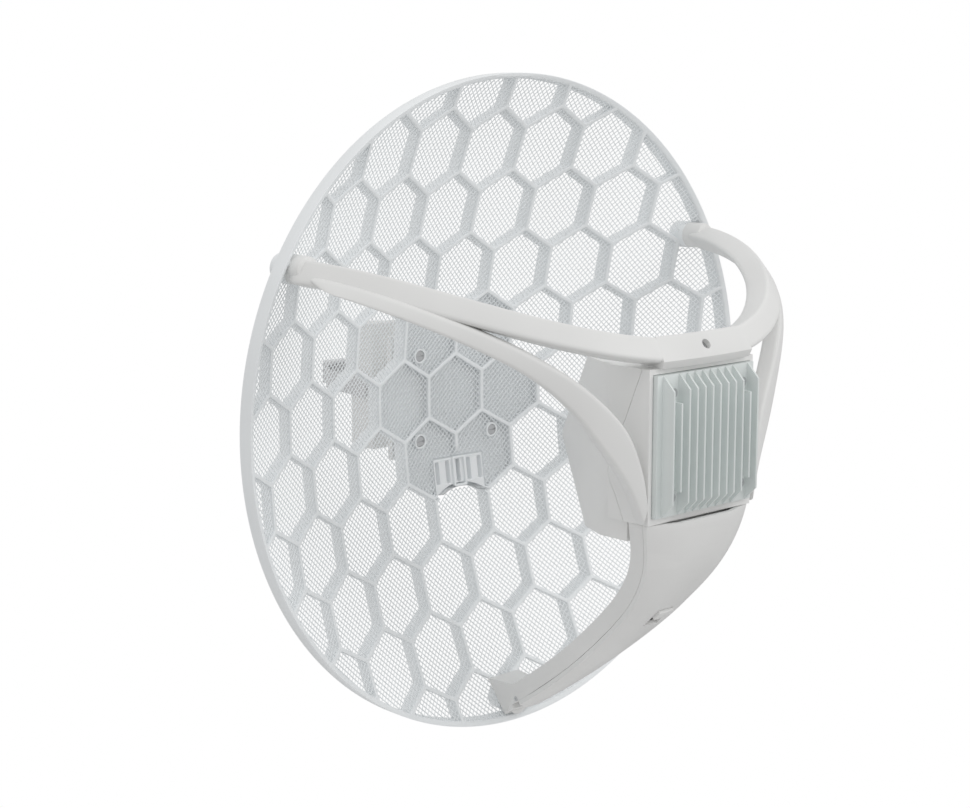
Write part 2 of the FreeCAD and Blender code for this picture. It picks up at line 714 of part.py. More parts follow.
def make_electronics():
    """Thermal pad, shield can, board, modem card, card holder, socket and button."""
    sink_back = dim("sink_front") + dim("sink_base")
    finish("thermal_pad", block("ThermalPad", (-10, "sink_front + sink_base", -10), (20, PAD_THICKNESS, 20)))
    can = block("CanOuter", (-15, sink_back + PAD_THICKNESS, -15), (30, CAN_HEIGHT, 30))
    can_hollow = block("CanInner", (-14.6, sink_back + PAD_THICKNESS + 0.4, -14.6), (29.2, CAN_HEIGHT, 29.2))
    finish("shield_can", subtract("ShieldCan", can, [can_hollow]))
    wide = block("BoardWide", (-33, board_front(), -22), (66, "board_thickness", 45))
    narrow = block("BoardNarrow", (-23, board_front(), -36.5), (46, "board_thickness", 15))
    notch = block("BoardNotch", (-20, board_front() - 1, -37), (17.5, "board_thickness + 2", 13.3))
    finish("main_board", subtract("MainBoard", join("BoardBlank", [wide, narrow]), [notch]))
    board_back = board_front() + dim("board_thickness")
    slot = block("CardSlot", (-16, board_back, 12), (32, 5.0, 8))
    card = block("CardBoard", (-15, board_back + 3.0, -18), (30, 1.0, 29.9))
    card_can = block("CardCan", (-12.5, board_back + 4.0, -12), (25, 2.2, 20))
    finish("modem_card", join("ModemCard", [card, card_can]))
    finish("modem_slot", slot)


def make_socket():
    """Network socket, open towards the cable arm."""
    x, y, z, width, depth, height = SOCKET_BOX
    shell = block("SocketShell", (x + 0.5, y + 0.2, z), (width - 1, depth - 0.4, height - 0.7))
    mouth = block("SocketMouth", (x + 2.8, y + 2.5, z - 1), (11.9, 8.0, 13.5))
    catch = block("SocketCatch", (x + 5.8, y + 10.0, z - 1), (5.9, 1.9, 13.5))
    finish("network_socket", subtract("NetworkSocket", shell, [mouth, catch]))


def make_reset_button():
    """Push button beside the socket, worked from below."""
    stem = rod("ButtonStem", (BUTTON_X, BUTTON_Y, -42.5), 1.9, 7.0, "z")
    head = rod("ButtonCollar", (BUTTON_X, BUTTON_Y, -37.5), 2.3, 2.0, "z")
    finish("reset_button", join("ResetButton", [stem, head]))
    base = block("ButtonBase", (BUTTON_X - 3, -192.0, -34.5), (6, 5.2, 4.0))
    finish("reset_switch", base)


def make_card_holder():
    """Holder for the subscriber card and the card itself, which slides out downwards."""
    shell = block("HolderShell", (CARD_X - 1.4, -192.0, -36.0), (15.4, 3.4, 16.5))
    bed = block("HolderBed", (CARD_X, CARD_Y, -37.0), (12.6, 0.9, 16.6))
    finish("card_holder", subtract("CardHolder", shell, [bed]))
    finish("subscriber_card", block("SubscriberCard", (CARD_X + 0.1, CARD_Y + 0.05, -36.0), (12.4, 0.8, 15.2)))


def make_feed_radiator():
    """Metal plate, radiating element on its posts and the two thin leads that feed it."""
    plate = block("RadiatorPlate", (-25, -164.0, -22), (50, 1.0, 44))
    finish("feed_reflector_plate", plate)
    element = block("ElementBoard", (-15, -146.0, -13), (30, 1.6, 26))
    patch = block("ElementPatch", (-11, -144.4, -9), (22, 0.4, 18))
    posts = [rod(f"ElementPost{n}", (x, -163.0, z), 1.8, 17.0, "y")
             for n, (x, z) in enumerate(((-10, -8), (-10, 8), (10, -8), (10, 8)))]
    finish("feed_element", join("FeedElement", [element, patch] + posts))


def make_feed_leads():
    """Two thin coaxial leads from the modem card to the radiating element."""
    radius = 0.6
    start = board_front() + dim("board_thickness") + 6.2 + radius
    bend = 4.0
    run_z = -23.6
    end_y = -146.0 - radius
    diagonal = bend * math.sin(math.pi / 4)
    leads = []
    for x in (-5.0, 5.0):
        low = Vector(x, start, run_z + bend)
        run_start = Vector(x, start + bend, run_z)
        run_end = Vector(x, end_y - bend, run_z)
        high = Vector(x, end_y, run_z + bend)
        down_to_run = Part.Arc(low, Vector(x, start + bend - diagonal, run_z + bend - diagonal), run_start)
        up_from_run = Part.Arc(run_end, Vector(x, end_y - bend + diagonal, run_z + bend - diagonal), high)
        path = Part.Wire([Part.makeLine(Vector(x, start, -10), low), down_to_run.toShape(),
                          Part.makeLine(run_start, run_end), up_from_run.toShape(),
                          Part.makeLine(high, Vector(x, end_y, -13))])
        profile = Part.Wire(Part.makeCircle(radius, Vector(x, start, -10), Vector(0, 0, -1)))
        leads.append(path.makePipeShell([profile], True, False))
    finish("feed_leads", computed("FeedLeads", Part.makeCompound(leads)))


# ---------------------------------------------------------------- cable arm and its cover

# Front corner of the cable arm from the feed housing to the foot: half width, y and z.
CABLE_ARM_EDGE = [(42.0, -199.5, -38.0), (36.0, -195.5, -62.0), (29.0, -184.0, -84.5), (21.0, -155.0, -115.5),
                  (13.0, -107.0, -155.0), (8.5, -54.5, -191.0)]
# Corners of the wedge that the cable arm stands on, on its +X side: on the grid, at the rim, on the arm.
WEDGE_CORNERS = [(12.7, -43.6, -170.1), (9.1, -55.0, -191.4), (9.0, -65.7, -170.0)]


def cable_arm_curve():
    """Smooth curve along the front corner of the cable arm."""
    curve = Part.BSplineCurve()
    curve.interpolate([Vector(*point) for point in CABLE_ARM_EDGE])
    return curve


def cable_arm_point(share):
    """Half width, middle of the front face and inward direction at a share of the arm's length."""
    curve = cable_arm_curve()
    parameter = curve.FirstParameter + share * (curve.LastParameter - curve.FirstParameter)
    point = curve.value(parameter)
    along = curve.tangent(parameter)[0]
    inward = Vector(0, -along.z, along.y).normalize()
    return point.x, Vector(0, point.y, point.z), inward


def cable_section(share, front, back, side, crowned):
    """Section of the cable arm between two depths, its sides moved in by side, flat or crowned."""
    half_width, middle, inward = cable_arm_point(share)
    side_step = Vector(half_width - side, 0, 0)
    near = middle + inward * front
    far = middle + inward * back
    if not crowned:
        return ring([near - side_step, near + side_step, far + side_step, far - side_step])
    crown = inward * (1.5 + 0.12 * half_width)
    shoulder = Vector(0.5 * half_width, 0, 0)
    front_line = [near - side_step, near - crown - shoulder, near - crown + shoulder, near + side_step]
    back_line = [far + side_step, far - crown + shoulder, far - crown - shoulder, far - side_step]
    return ring(front_line + back_line)


def cable_loft(first, last, front, back, side=0.0, steps=7, crowned=False):
    """Length of cable arm between two shares of its curve."""
    shares = [first + (last - first) * step / steps for step in range(steps + 1)]
    return Part.makeLoft([cable_section(share, front, back, side, crowned) for share in shares], True, False)


def share_at(height):
    """Share of the cable arm's length at which its front corner comes down to a height."""
    low, high = 0.0, 1.0
    while high - low > 1e-4:
        middle = (low + high) / 2
        if cable_arm_point(middle)[1].z > height:
            low = middle
        else:
            high = middle
    return low


def on_middle(shape, width):
    """Part of a shape within a strip about the plane of symmetry."""
    return shape.common(Part.makeBox(width, 400, 400, Vector(-width / 2, -300, -300)))


COVER_END = 0.923
PIN_SHARE = 0.93
PIN_DEPTH = 4.6
KNUCKLE_RADIUS = 2.4
HOLLOW_END = 0.945
FOOT_START = 0.955
LATCH_TOP = -97.0
LATCH_LENGTH = 12.0
LATCH_WIDTH = 12.0


def cover_pin_place():
    """Axis of the cover's hinge pin, behind the lower end of the cover."""
    middle, inward = cable_arm_point(PIN_SHARE)[1:]
    return middle + inward * PIN_DEPTH


def below_housing(shape):
    """Trim a shape to the space under the feed housing, a joint's width away from it."""
    gap = dim("fit_gap")
    above = Part.makeBox(200, 200, 60, Vector(-100, -300, dim("pod_bottom") - gap))
    return shape.cut([pod_shape(-gap), above])


def wedge():
    """Wedge under the lower end of the cable arm, its top level and its rear on the grid."""
    right = [Vector(*corner) for corner in WEDGE_CORNERS]
    left = [Vector(-corner.x, corner.y, corner.z) for corner in right]
    faces = [Part.Face(ring(right)), Part.Face(ring(left))]
    for start, end in ((0, 1), (1, 2), (2, 0)):
        faces.append(Part.Face(ring([right[start], right[end], left[end], left[start]])))
    return Part.makeSolid(Part.makeShell(faces))


def make_cable_arm():
    """Bottom arm: a channel for the cable, open in front, that ends in a wedge on the rim."""
    cover = dim("cover_thickness") + 0.15
    depth = dim("channel_depth")
    wall = 2.2
    channel = cable_loft(0, FOOT_START, cover, depth)
    channel = channel.cut(cable_loft(-0.02, HOLLOW_END, cover - 2, depth - wall, wall))
    port_room = Part.makeBox(45.0, 16.0, 38.0, Vector(SOCKET_BOX[0] - 1, -196.5, -68.0))
    channel = below_housing(channel.cut(port_room))
    tip = cable_loft(FOOT_START, 1, 0, depth, steps=2)
    foot_x, foot_z = foot_places()[2]
    seat = foot_seat()
    post = Part.makeCylinder(FOOT_POST_RADIUS, 8.0, Vector(foot_x, seat - 8.0, foot_z), Vector(0, 1, 0))
    shape = channel.fuse([tip, wedge(), post]).cut(grid_clearance(foot_x, foot_z))
    pin = cover_pin_place()
    knuckle_room = Part.makeCylinder(KNUCKLE_RADIUS + 0.4, 9.0, pin + Vector(-4.5, 0, 0), Vector(1, 0, 0))
    pin_hole = Part.makeCylinder(dim("pin_radius"), 60, pin + Vector(-30, 0, 0), Vector(1, 0, 0))
    finish("cable_arm", computed("CableArm", shape.cut([foot_pilot(foot_x, foot_z), knuckle_room, pin_hole])))
    half = cable_arm_point(PIN_SHARE)[0]
    finish("cover_hinge_pin", rod("CoverPin", (-half, pin.y, pin.z), "pin_radius", 2 * half, "x"))


def make_cable_cover():
    """Crowned front cover of the cable arm, hinged at its lower end, with a window for its latch."""
    thickness = dim("cover_thickness")
    shape = below_housing(cable_loft(0, COVER_END, 0, thickness, crowned=True))
    pin = cover_pin_place()
    knuckle = Part.makeCylinder(KNUCKLE_RADIUS, 8, pin + Vector(-4, 0, 0), Vector(1, 0, 0))
    lug = on_middle(cable_loft(COVER_END - 0.012, COVER_END, -1, PIN_DEPTH, steps=1), 8)
    bore = Part.makeCylinder(dim("pin_radius") + 0.06, 20, pin + Vector(-10, 0, 0), Vector(1, 0, 0))
    window_top = share_at(LATCH_TOP)
    window_end = share_at(LATCH_TOP - LATCH_LENGTH)
    window = on_middle(cable_loft(window_top, window_end, -14, 10, steps=1), LATCH_WIDTH)
    finish("cable_cover", computed("CableCover", shape.fuse([knuckle, lug]).cut([bore, window])))
    gap = 0.004
    tab_end = share_at(LATCH_TOP - 0.45 * LATCH_LENGTH)
    crown = 1.5 + 0.12 * cable_arm_point(window_top)[0]
    tab = cable_loft(window_top + gap, tab_end, -crown - 1.6, 0, steps=1)
    tongue = cable_loft(window_top + gap, window_end - gap, -0.9, 0.9, steps=1)
    latch = on_middle(tab.fuse(tongue), LATCH_WIDTH - 0.6)
    finish("cover_latch", computed("CoverLatch", latch))


# ---------------------------------------------------------------- rear bracket and pole clamp

def make_rear_bracket():
    """Flange behind the grid with two ears for the tilt bolt."""
    body = doc.addObject("PartDesign::Body", "RearBracket")
    front = dim("boss_length")
    flange = sketch_on(body, "XZ_Plane", "BracketFlange", -front)
    outline(flange, [(-42, -38), (42, -38), (42, 38), (-42, 38)])
    flange_pad = pad(body, "BracketFlangePad", flange, "flange_thickness")
    flange_pad.Reversed = True
    ear_start = dim("ear_gap") / 2
    back = front + dim("flange_thickness")
    pivot = dim("pivot_y")
    for side in (-1, 1):
        offset = side * (ear_start + dim("ear_thickness") / 2)
        ear = sketch_on(body, "YZ_Plane", f"Ear{side + 1}", offset)
        radius = 13.0
        start = Vector(back - 1, -26, 0)
        low = Vector(pivot, -radius, 0)
        tip = Vector(pivot + radius, 0, 0)
        high = Vector(pivot, radius, 0)
        end = Vector(back - 1, 26, 0)
        ear.addGeometry(Part.LineSegment(start, low), False)
        ear.addGeometry(Part.Arc(low, tip, high), False)
        ear.addGeometry(Part.LineSegment(high, end), False)
        ear.addGeometry(Part.LineSegment(end, start), False)
        pad(body, f"EarPad{side + 1}", ear, "ear_thickness", symmetric=True)
    bore = sketch_on(body, "YZ_Plane", "EarBore")
    circle(bore, (pivot, 0), dim("bolt_radius") + 0.05)
    pocket(body, "EarBoreCut", bore, "80", symmetric=True)
    holes = sketch_on(body, "XZ_Plane", "BracketHoles", -front)
    for place_xz in boss_places():
        circle(holes, place_xz, dim("screw_radius"))
    pocket(body, "BracketHolesCut", holes, "10")
    finish("rear_bracket", body)


def pivot_row_y():
    """Y of the tilt axis in the row frame."""
    return dim("pivot_y") - dim("pole_setback")


V_HALF_WIDTH = 24.0


def groove_depth():
    """Distance from the pole's axis to the bottom of the V groove, whose flanks touch the pole."""
    return dim("pole_radius") / math.cos(math.radians(30))


def make_pole_bracket():
    """Saddle with a V groove against the pole and a tongue between the ears."""
    body = doc.addObject("PartDesign::Body", "PoleBracket")
    pivot = pivot_row_y()
    apex = groove_depth()
    reach = V_HALF_WIDTH * math.tan(math.radians(30))
    saddle = sketch_on(body, "XY_Plane", "SaddlePlan")
    outline(saddle, [(-V_HALF_WIDTH, -apex - 7), (V_HALF_WIDTH, -apex - 7), (V_HALF_WIDTH, reach - apex),
                     (0, -apex), (-V_HALF_WIDTH, reach - apex)])
    pad(body, "SaddlePad", saddle, "80", symmetric=True)
    tongue = sketch_on(body, "YZ_Plane", "TonguePlan")
    radius = 12.0
    low = Vector(pivot, -radius, 0)
    tip = Vector(pivot - radius, 0, 0)
    high = Vector(pivot, radius, 0)
    start = Vector(-apex - 5, -20, 0)
    end = Vector(-apex - 5, 20, 0)
    tongue.addGeometry(Part.LineSegment(start, low), False)
    tongue.addGeometry(Part.Arc(low, tip, high), False)
    tongue.addGeometry(Part.LineSegment(high, end), False)
    tongue.addGeometry(Part.LineSegment(end, start), False)
    pad(body, "TonguePad", tongue, "ear_gap - fit_gap * 2", symmetric=True)
    bore = sketch_on(body, "YZ_Plane", "TongueBore")
    circle(bore, (pivot, 0), dim("bolt_radius") + 0.08)
    pocket(body, "TongueBoreCut", bore, "80", symmetric=True)
    slot = sketch_on(body, "YZ_Plane", "BandSlot")
    half = dim("band_width") / 2 + 0.5
    outline(slot, [(-apex - 4.6, -half), (-apex - 2.2, -half), (-apex - 2.2, half), (-apex - 4.6, half)])
    pocket(body, "BandSlotCut", slot, "100", symmetric=True)
    finish("pole_bracket", body, on_antenna=False)


def tangent_point(corner, radius):
    """Point where a line from corner touches the circle about the origin, on the corner's own side."""
    distance = math.hypot(corner.x, corner.y)
    spread = math.acos(radius / distance)
    heading = math.atan2(corner.y, corner.x)
    turn = spread if corner.x > 0 else -spread
    return Vector(radius * math.cos(heading + turn), radius * math.sin(heading + turn), 0)


def band_outline(grow):
    """Region held by the band: round behind the pole and straight through the bracket's slot."""
    radius = dim("pole_radius") + grow
    slot_y = -groove_depth() - 3.0 - grow
    right = Vector(V_HALF_WIDTH + 2.2 + grow, slot_y, 0)
    left = Vector(-V_HALF_WIDTH - 2.2 - grow, slot_y, 0)
    start = tangent_point(right, radius)
    end = tangent_point(left, radius)
    arc = Part.Arc(start, Vector(0, radius, 0), end)
    wire = Part.Wire([Part.makeLine(left, right), Part.makeLine(right, start), arc.toShape(),
                      Part.makeLine(end, left)])
    return Part.Face(wire)


def make_pole_clamp():
    """Worm-drive band round the pole: band, housing and worm screw."""
    pole = dim("pole_radius")
    thick = dim("band_thickness")
    band = band_outline(thick).cut(band_outline(0)).extrude(Vector(0, 0, dim("band_width")))
    band.translate(Vector(0, 0, -dim("band_width") / 2))
    finish("clamp_band", computed("ClampBand", band), on_antenna=False)
    seat = pole + thick
    axis_y = seat + 4.6
    shell = block("ClampShell", (-8, seat + 0.05, -7.4), (16, 9.4, 14.8))
    bore = rod("ClampBore", (-9, axis_y, 0), 3.56, 18, "x")
    finish("clamp_housing", subtract("ClampHousing", shell, [bore]), on_antenna=False)
    worm = rod("WormBarrel", (-8.6, axis_y, 0), 3.5, 17.0, "x")
    head = hexagon_rod("WormHead", (8.4, axis_y, 0), 4.0, 5.0, "x")
    slot = block("WormSlot", (12.2, axis_y - 0.5, -5), (2, 1.0, 10))
    finish("clamp_screw", subtract("ClampScrew", join("WormBlank", [worm, head]), [slot]), on_antenna=False)


def make_tilt_bolt():
    """Cross bolt with its washers and nut."""
    ear_outside = dim("ear_gap") / 2 + dim("ear_thickness")
    y = dim("pivot_y")
    washers = []
    for index, x in enumerate((-ear_outside - 1.6, ear_outside)):
        disc = rod(f"WasherDisc{index}", (x, y, 0), 8.5, 1.6, "x")
        hole = rod(f"WasherHole{index}", (x - 1, y, 0), "bolt_radius + 0.05", 4, "x")
        washers.append(subtract(f"Washer{index}", disc, [hole]))
    finish("tilt_washers", group("Washers", washers))
    head = hexagon_rod("BoltHead", (-ear_outside - 1.6 - 5.3, y, 0), 7.5, 5.3, "x")
    shank = rod("BoltShank", (-ear_outside - 1.7, y, 0), "bolt_radius", 2 * ear_outside + 13.0, "x")
    finish("tilt_bolt", join("TiltBolt", [head, shank]))
    nut = hexagon_rod("NutBody", (ear_outside + 1.6, y, 0), 7.5, 6.5, "x")
    thread = rod("NutThread", (ear_outside, y, 0), "bolt_radius + 0.02", 12, "x")
    finish("tilt_nut", subtract("TiltNut", nut, [thread]))


# ---------------------------------------------------------------- build, check and write

def build():
    """Make every piece."""
    make_reflector_frame()
    make_reflector_screen()
    make_bracket_screws()
    make_foot_screws()
    make_side_arms(pod_shape(0))
    make_saddle()
    make_feed_housing()
    make_rear_cover()
    make_heatsink()
    make_sink_screws()
    make_gasket()
    make_electronics()
    make_socket()
    make_reset_button()
    make_card_holder()
    make_feed_radiator()
    make_feed_leads()
    make_cable_arm()
    make_cable_cover()
    make_rear_bracket()
    make_pole_bracket()
    make_pole_clamp()
    make_tilt_bolt()
    doc.recompute()


SOLIDS_IN_GROUP = {"bracket_screws": 4, "arm_foot_screws": 3, "heatsink_screws": 4, "feed_leads": 2,
                   "tilt_washers": 2}


def check():
    """Stop if any object failed or any piece has an invalid shape or loose solids."""
    for obj in doc.Objects:
        if "Invalid" in obj.State or "Error" in obj.State:
            raise RuntimeError(f"{obj.Label} failed: {obj.State}")
    for obj in parts:
        shape = obj.Shape
        if shape.isNull() or not shape.isValid():
            raise RuntimeError(f"{obj.Label} has no valid shape")
        wanted = SOLIDS_IN_GROUP.get(obj.Label, 1)
        if len(shape.Solids) != wanted:
            raise RuntimeError(f"{obj.Label} has {len(shape.Solids)} solids instead of {wanted}")


def write():
    """Write each piece to its own STEP file."""
    for obj in parts:
        obj.Shape.exportStep(os.path.join("parts", f"{obj.Label}.step"))
        print(f"{obj.Label}: {len(obj.Shape.Solids)} solid(s), {obj.Shape.Volume / 1000:.2f} cm3")


build()
check()
write()
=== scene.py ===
import json
import math

import bpy
import bmesh
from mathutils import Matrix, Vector


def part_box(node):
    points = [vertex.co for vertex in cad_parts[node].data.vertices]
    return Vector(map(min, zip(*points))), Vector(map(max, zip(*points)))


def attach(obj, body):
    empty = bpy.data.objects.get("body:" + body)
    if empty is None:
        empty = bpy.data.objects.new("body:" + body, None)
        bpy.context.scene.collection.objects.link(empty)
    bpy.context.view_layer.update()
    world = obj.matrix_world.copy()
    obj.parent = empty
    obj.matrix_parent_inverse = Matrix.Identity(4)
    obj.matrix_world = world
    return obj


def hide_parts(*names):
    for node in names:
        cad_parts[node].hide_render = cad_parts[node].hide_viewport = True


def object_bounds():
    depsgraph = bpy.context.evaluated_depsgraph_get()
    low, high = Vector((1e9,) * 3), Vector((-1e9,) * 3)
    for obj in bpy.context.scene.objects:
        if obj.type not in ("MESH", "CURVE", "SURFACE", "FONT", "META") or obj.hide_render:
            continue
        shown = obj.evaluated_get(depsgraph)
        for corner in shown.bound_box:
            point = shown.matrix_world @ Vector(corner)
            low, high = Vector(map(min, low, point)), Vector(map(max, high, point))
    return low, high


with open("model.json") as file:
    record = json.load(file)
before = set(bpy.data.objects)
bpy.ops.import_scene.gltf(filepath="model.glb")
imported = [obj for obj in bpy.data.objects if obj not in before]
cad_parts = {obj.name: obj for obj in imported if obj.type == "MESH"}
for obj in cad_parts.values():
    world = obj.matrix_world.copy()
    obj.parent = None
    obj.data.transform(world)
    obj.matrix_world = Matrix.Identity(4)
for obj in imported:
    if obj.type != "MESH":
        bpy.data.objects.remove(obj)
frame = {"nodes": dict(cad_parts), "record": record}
cad_low, cad_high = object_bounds()

MM = 0.001

# ------------------------------------------------------------------ sizes, in millimetres

RIM_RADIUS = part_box("reflector_frame")[1].x / MM
RIM_WALL = 3.0
FOCAL = 167.0
RIB_DEPTH = 10.5
RIB_WIDTH = 2.4
CELL_PITCH = 43.5
LIP_ROUNDING = 0.7
BOSS_LENGTH = 11.0
VERTEX_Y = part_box("rear_bracket")[0].y / MM - BOSS_LENGTH
WIRE_PITCH = 2.46
WIRE_RADIUS = 0.35
WIRE_BACK = 1.25
WEAVE = 0.16
FLOOR_FRONT = 4.6
FLOOR_BACK = 7.1
ARC_RADIUS = 35.0
ARC_CENTRE = (0.0, -90.5)
VENT_HALF_WIDTH = 20.0
VENT_TOP = -39.5
VENT_BOTTOM = -63.0
VENT_FRONT = 1.0
VENT_LAP = 0.5
SLOT_PITCH = 8.7
SLOT_WIDTH = 3.2
SLOT_LOW = -55.0
SLOT_HIGH = -41.0
SLOT_ROUNDING = 1.0
ARC_STEPS = 12
# Left, right, low and high side of the raised frame round the middle slot, and how far it stands out.
VENT_FRAME_OUTER = (-5.2, 5.2, -57.5, -39.0)
VENT_FRAME_INNER = (-4.0, 4.0, -56.2, -40.2)
VENT_FRAME_FRONT = -0.6
FOOT_RADIUS = 184.0
FOOT_ANGLES = (30, 150, 270)
FOOT_BOSS_LENGTH = 11.0
FOOT_BOSS_RADIUS = 8.4
FOOT_SCREW_HEAD = 2.6
SCREW_RECESS_RADIUS = 3.4
SCREW_RECESS_DEPTH = 4.0
SCREW_BOSS_RADIUS = 4.6
SCREW_HEAD_RADIUS = 3.1
SCREW_HOLE_RADIUS = 2.0


# ------------------------------------------------------------------ mesh helpers

def row(x, y, z):
    """Row-frame position in metres of a point in dish millimetres."""
    return Vector((x, y + VERTEX_Y, z)) * MM


def dish_y(x, z):
    """Front surface of the grid, relative to its vertex."""
    return -(x * x + z * z) / (4 * FOCAL)


def add_mesh(name, points, faces):
    """Object from points in metres."""
    mesh = bpy.data.meshes.new(name)
    mesh.from_pydata([tuple(p) for p in points], [], faces)
    obj = bpy.data.objects.new(name, mesh)
    bpy.context.collection.objects.link(obj)
    return obj


def clean(obj, sharp_angle=32.0, merge=1e-6):
    """Merge doubles, turn normals outwards, shade smooth up to an angle."""
    work = bmesh.new()
    work.from_mesh(obj.data)
    bmesh.ops.remove_doubles(work, verts=work.verts, dist=merge)
    bmesh.ops.recalc_face_normals(work, faces=work.faces)
    work.to_mesh(obj.data)
    work.free()
    obj.data.shade_smooth()
    obj.data.set_sharp_from_angle(angle=math.radians(sharp_angle))
    return obj


def dress(obj, body, slot, *nodes):
    """Material, body and the CAD nodes that a finished piece stands for."""
    obj.data.materials.clear()
    obj.data.materials.append(MATERIALS[slot])
    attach(obj, body)
    if nodes:
        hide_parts(*nodes)
    return obj


def bake_modifiers(obj):
    """Apply an object's modifiers to its mesh."""
    graph = bpy.context.evaluated_depsgraph_get()
    obj.data = bpy.data.meshes.new_from_object(obj.evaluated_get(graph))
    obj.modifiers.clear()
    return obj


def softened(name, node, width, segments=3, angle=28.0):
    """Copy of a CAD node with its flat facets joined and its edges rounded."""
    obj = bpy.data.objects.new(name, frame["nodes"][node].data.copy())
    bpy.context.collection.objects.link(obj)
    work = bmesh.new()
    work.from_mesh(obj.data)
    bmesh.ops.remove_doubles(work, verts=work.verts, dist=2e-6)
    bmesh.ops.dissolve_limit(work, angle_limit=math.radians(1.0), verts=work.verts, edges=work.edges)
    work.to_mesh(obj.data)
    work.free()
    bevel = obj.modifiers.new("Edges", "BEVEL")
    bevel.width = width * MM
    bevel.segments = segments
    bevel.limit_method = "ANGLE"
    bevel.angle_limit = math.radians(angle)
    bevel.use_clamp_overlap = True
    bevel.harden_normals = False
    bake_modifiers(obj)
    return clean(obj, 40.0, 1e-7)


# ------------------------------------------------------------------ outlines in the XZ plane

def polygon(centre, radius, sides, start=0.0):
    """Regular polygon, counter-clockwise."""
    step = 2 * math.pi / sides
    return [(centre[0] + radius * math.cos(start + i * step), centre[1] + radius * math.sin(start + i * step))
            for i in range(sides)]


def clip(subject, clipper):
    """Part of a convex polygon inside another, both counter-clockwise."""
    result = subject
    for (ax, ay), (bx, by) in zip(clipper, clipper[1:] + clipper[:1]):
        points, result = result, []
        side = [(bx - ax) * (y - ay) - (by - ay) * (x - ax) for x, y in points]
        for i, (px, py) in enumerate(points):
            qx, qy = points[(i + 1) % len(points)]
            here, there = side[i], side[(i + 1) % len(points)]
            if here >= 0:
                result.append((px, py))
            if here * there < 0:
                share = here / (here - there)
                result.append((px + share * (qx - px), py + share * (qy - py)))
        if not result:
            return []
    return result


def area(points):
    """Area of a polygon."""
    return 0.5 * sum(ax * by - bx * ay for (ax, ay), (bx, by) in zip(points, points[1:] + points[:1]))


def fillet(points, radius, steps=4):
    """Polygon with its corners rounded, as far as its sides allow."""
    result = []
    count = len(points)
    for i, corner in enumerate(points):
        here = Vector(corner)
        back = Vector(points[i - 1]) - here
        ahead = Vector(points[(i + 1) % count]) - here
        if back.length < 1e-9 or ahead.length < 1e-9:
            continue
        bend = math.pi - back.angle(ahead)
        if bend < math.radians(12):
            result.append(tuple(here))
            continue
        reach = min(radius * math.tan(bend / 2), 0.45 * back.length, 0.45 * ahead.length)
        start = here + back.normalized() * reach
        end = here + ahead.normalized() * reach
        for step in range(steps + 1):
            t = step / steps
            result.append(tuple((1 - t) ** 2 * start + 2 * t * (1 - t) * here + t * t * end))
    return result


def subdivide(points, longest):
    """Polygon with extra points so that no side is longer than a length."""
    result = []
    for (ax, ay), (bx, by) in zip(points, points[1:] + points[:1]):
        parts = max(1, math.ceil(math.hypot(bx - ax, by - ay) / longest))
        result += [(ax + (bx - ax) * i / parts, ay + (by - ay) * i / parts) for i in range(parts)]
    return result


def rounded_plate(name, outlines, front, back, rounding):
    """Plate between two depths behind the dish, with rounded lips: the first outline less the others."""
    curve = bpy.data.curves.new(name, "CURVE")
    curve.dimensions = "2D"
    curve.fill_mode = "BOTH"
    curve.extrude = (back - front) / 2 - rounding
    curve.bevel_depth = rounding
    curve.bevel_resolution = 2
    curve.offset = -rounding
    for points in outlines:
        spline = curve.splines.new("POLY")
        spline.points.add(len(points) - 1)
        spline.use_cyclic_u = True
        for target, (x, z) in zip(spline.points, points):
            target.co = (x, z, 0, 1)
    holder = bpy.data.objects.new(name + "_curve", curve)
    bpy.context.collection.objects.link(holder)
    graph = bpy.context.evaluated_depsgraph_get()
    mesh = bpy.data.meshes.new_from_object(holder.evaluated_get(graph))
    bpy.data.objects.remove(holder)
    middle = (front + back) / 2
    for vertex in mesh.vertices:
        x, z, forward = vertex.co
        vertex.co = row(x, dish_y(x, z) + middle - forward, z)
    obj = bpy.data.objects.new(name, mesh)
    bpy.context.collection.objects.link(obj)
    return clean(obj)


def cell_centres():
    """Centres of the hexagonal cells that reach inside the rim."""
    rise = CELL_PITCH * math.sqrt(3) / 2
    places = [(CELL_PITCH * (column + 0.5 * (line % 2)), rise * line)
              for line in range(-6, 7) for column in range(-6, 7)]
    return [place for place in places if math.hypot(*place) < RIM_RADIUS + 20]


def cell_openings():
    """Outline of every open cell, trimmed by the rim and by the arc below the cable vent."""
    size = (CELL_PITCH - RIB_WIDTH) / math.sqrt(3)
    inside = polygon((0, 0), RIM_RADIUS - RIM_WALL, 240)
    below_vent = polygon(ARC_CENTRE, ARC_RADIUS - RIB_WIDTH, 96)
    lower_cell_z = -CELL_PITCH * math.sqrt(3)
    openings = []
    for x, z in cell_centres():
        cell = polygon((x, z), size, 6, math.pi / 2)
        if math.hypot(x, z) + size > RIM_RADIUS - RIM_WALL:
            cell = clip(inside, cell)
        if abs(x) < 1 and abs(z - lower_cell_z) < 1:
            cell = clip(below_vent, cell)
        if cell and area(cell) > 25:
            openings.append(subdivide(fillet(cell, 1.3), 5.0))
    return openings


def in_vent(x, z, grow=0.0):
    """Whether a place lies on the cable vent panel."""
    beside = abs(x) < VENT_HALF_WIDTH + grow and VENT_BOTTOM - grow < z < VENT_TOP + grow
    return beside and math.hypot(x - ARC_CENTRE[0], z - ARC_CENTRE[1]) > ARC_RADIUS - RIB_WIDTH - grow


# ------------------------------------------------------------------ materials

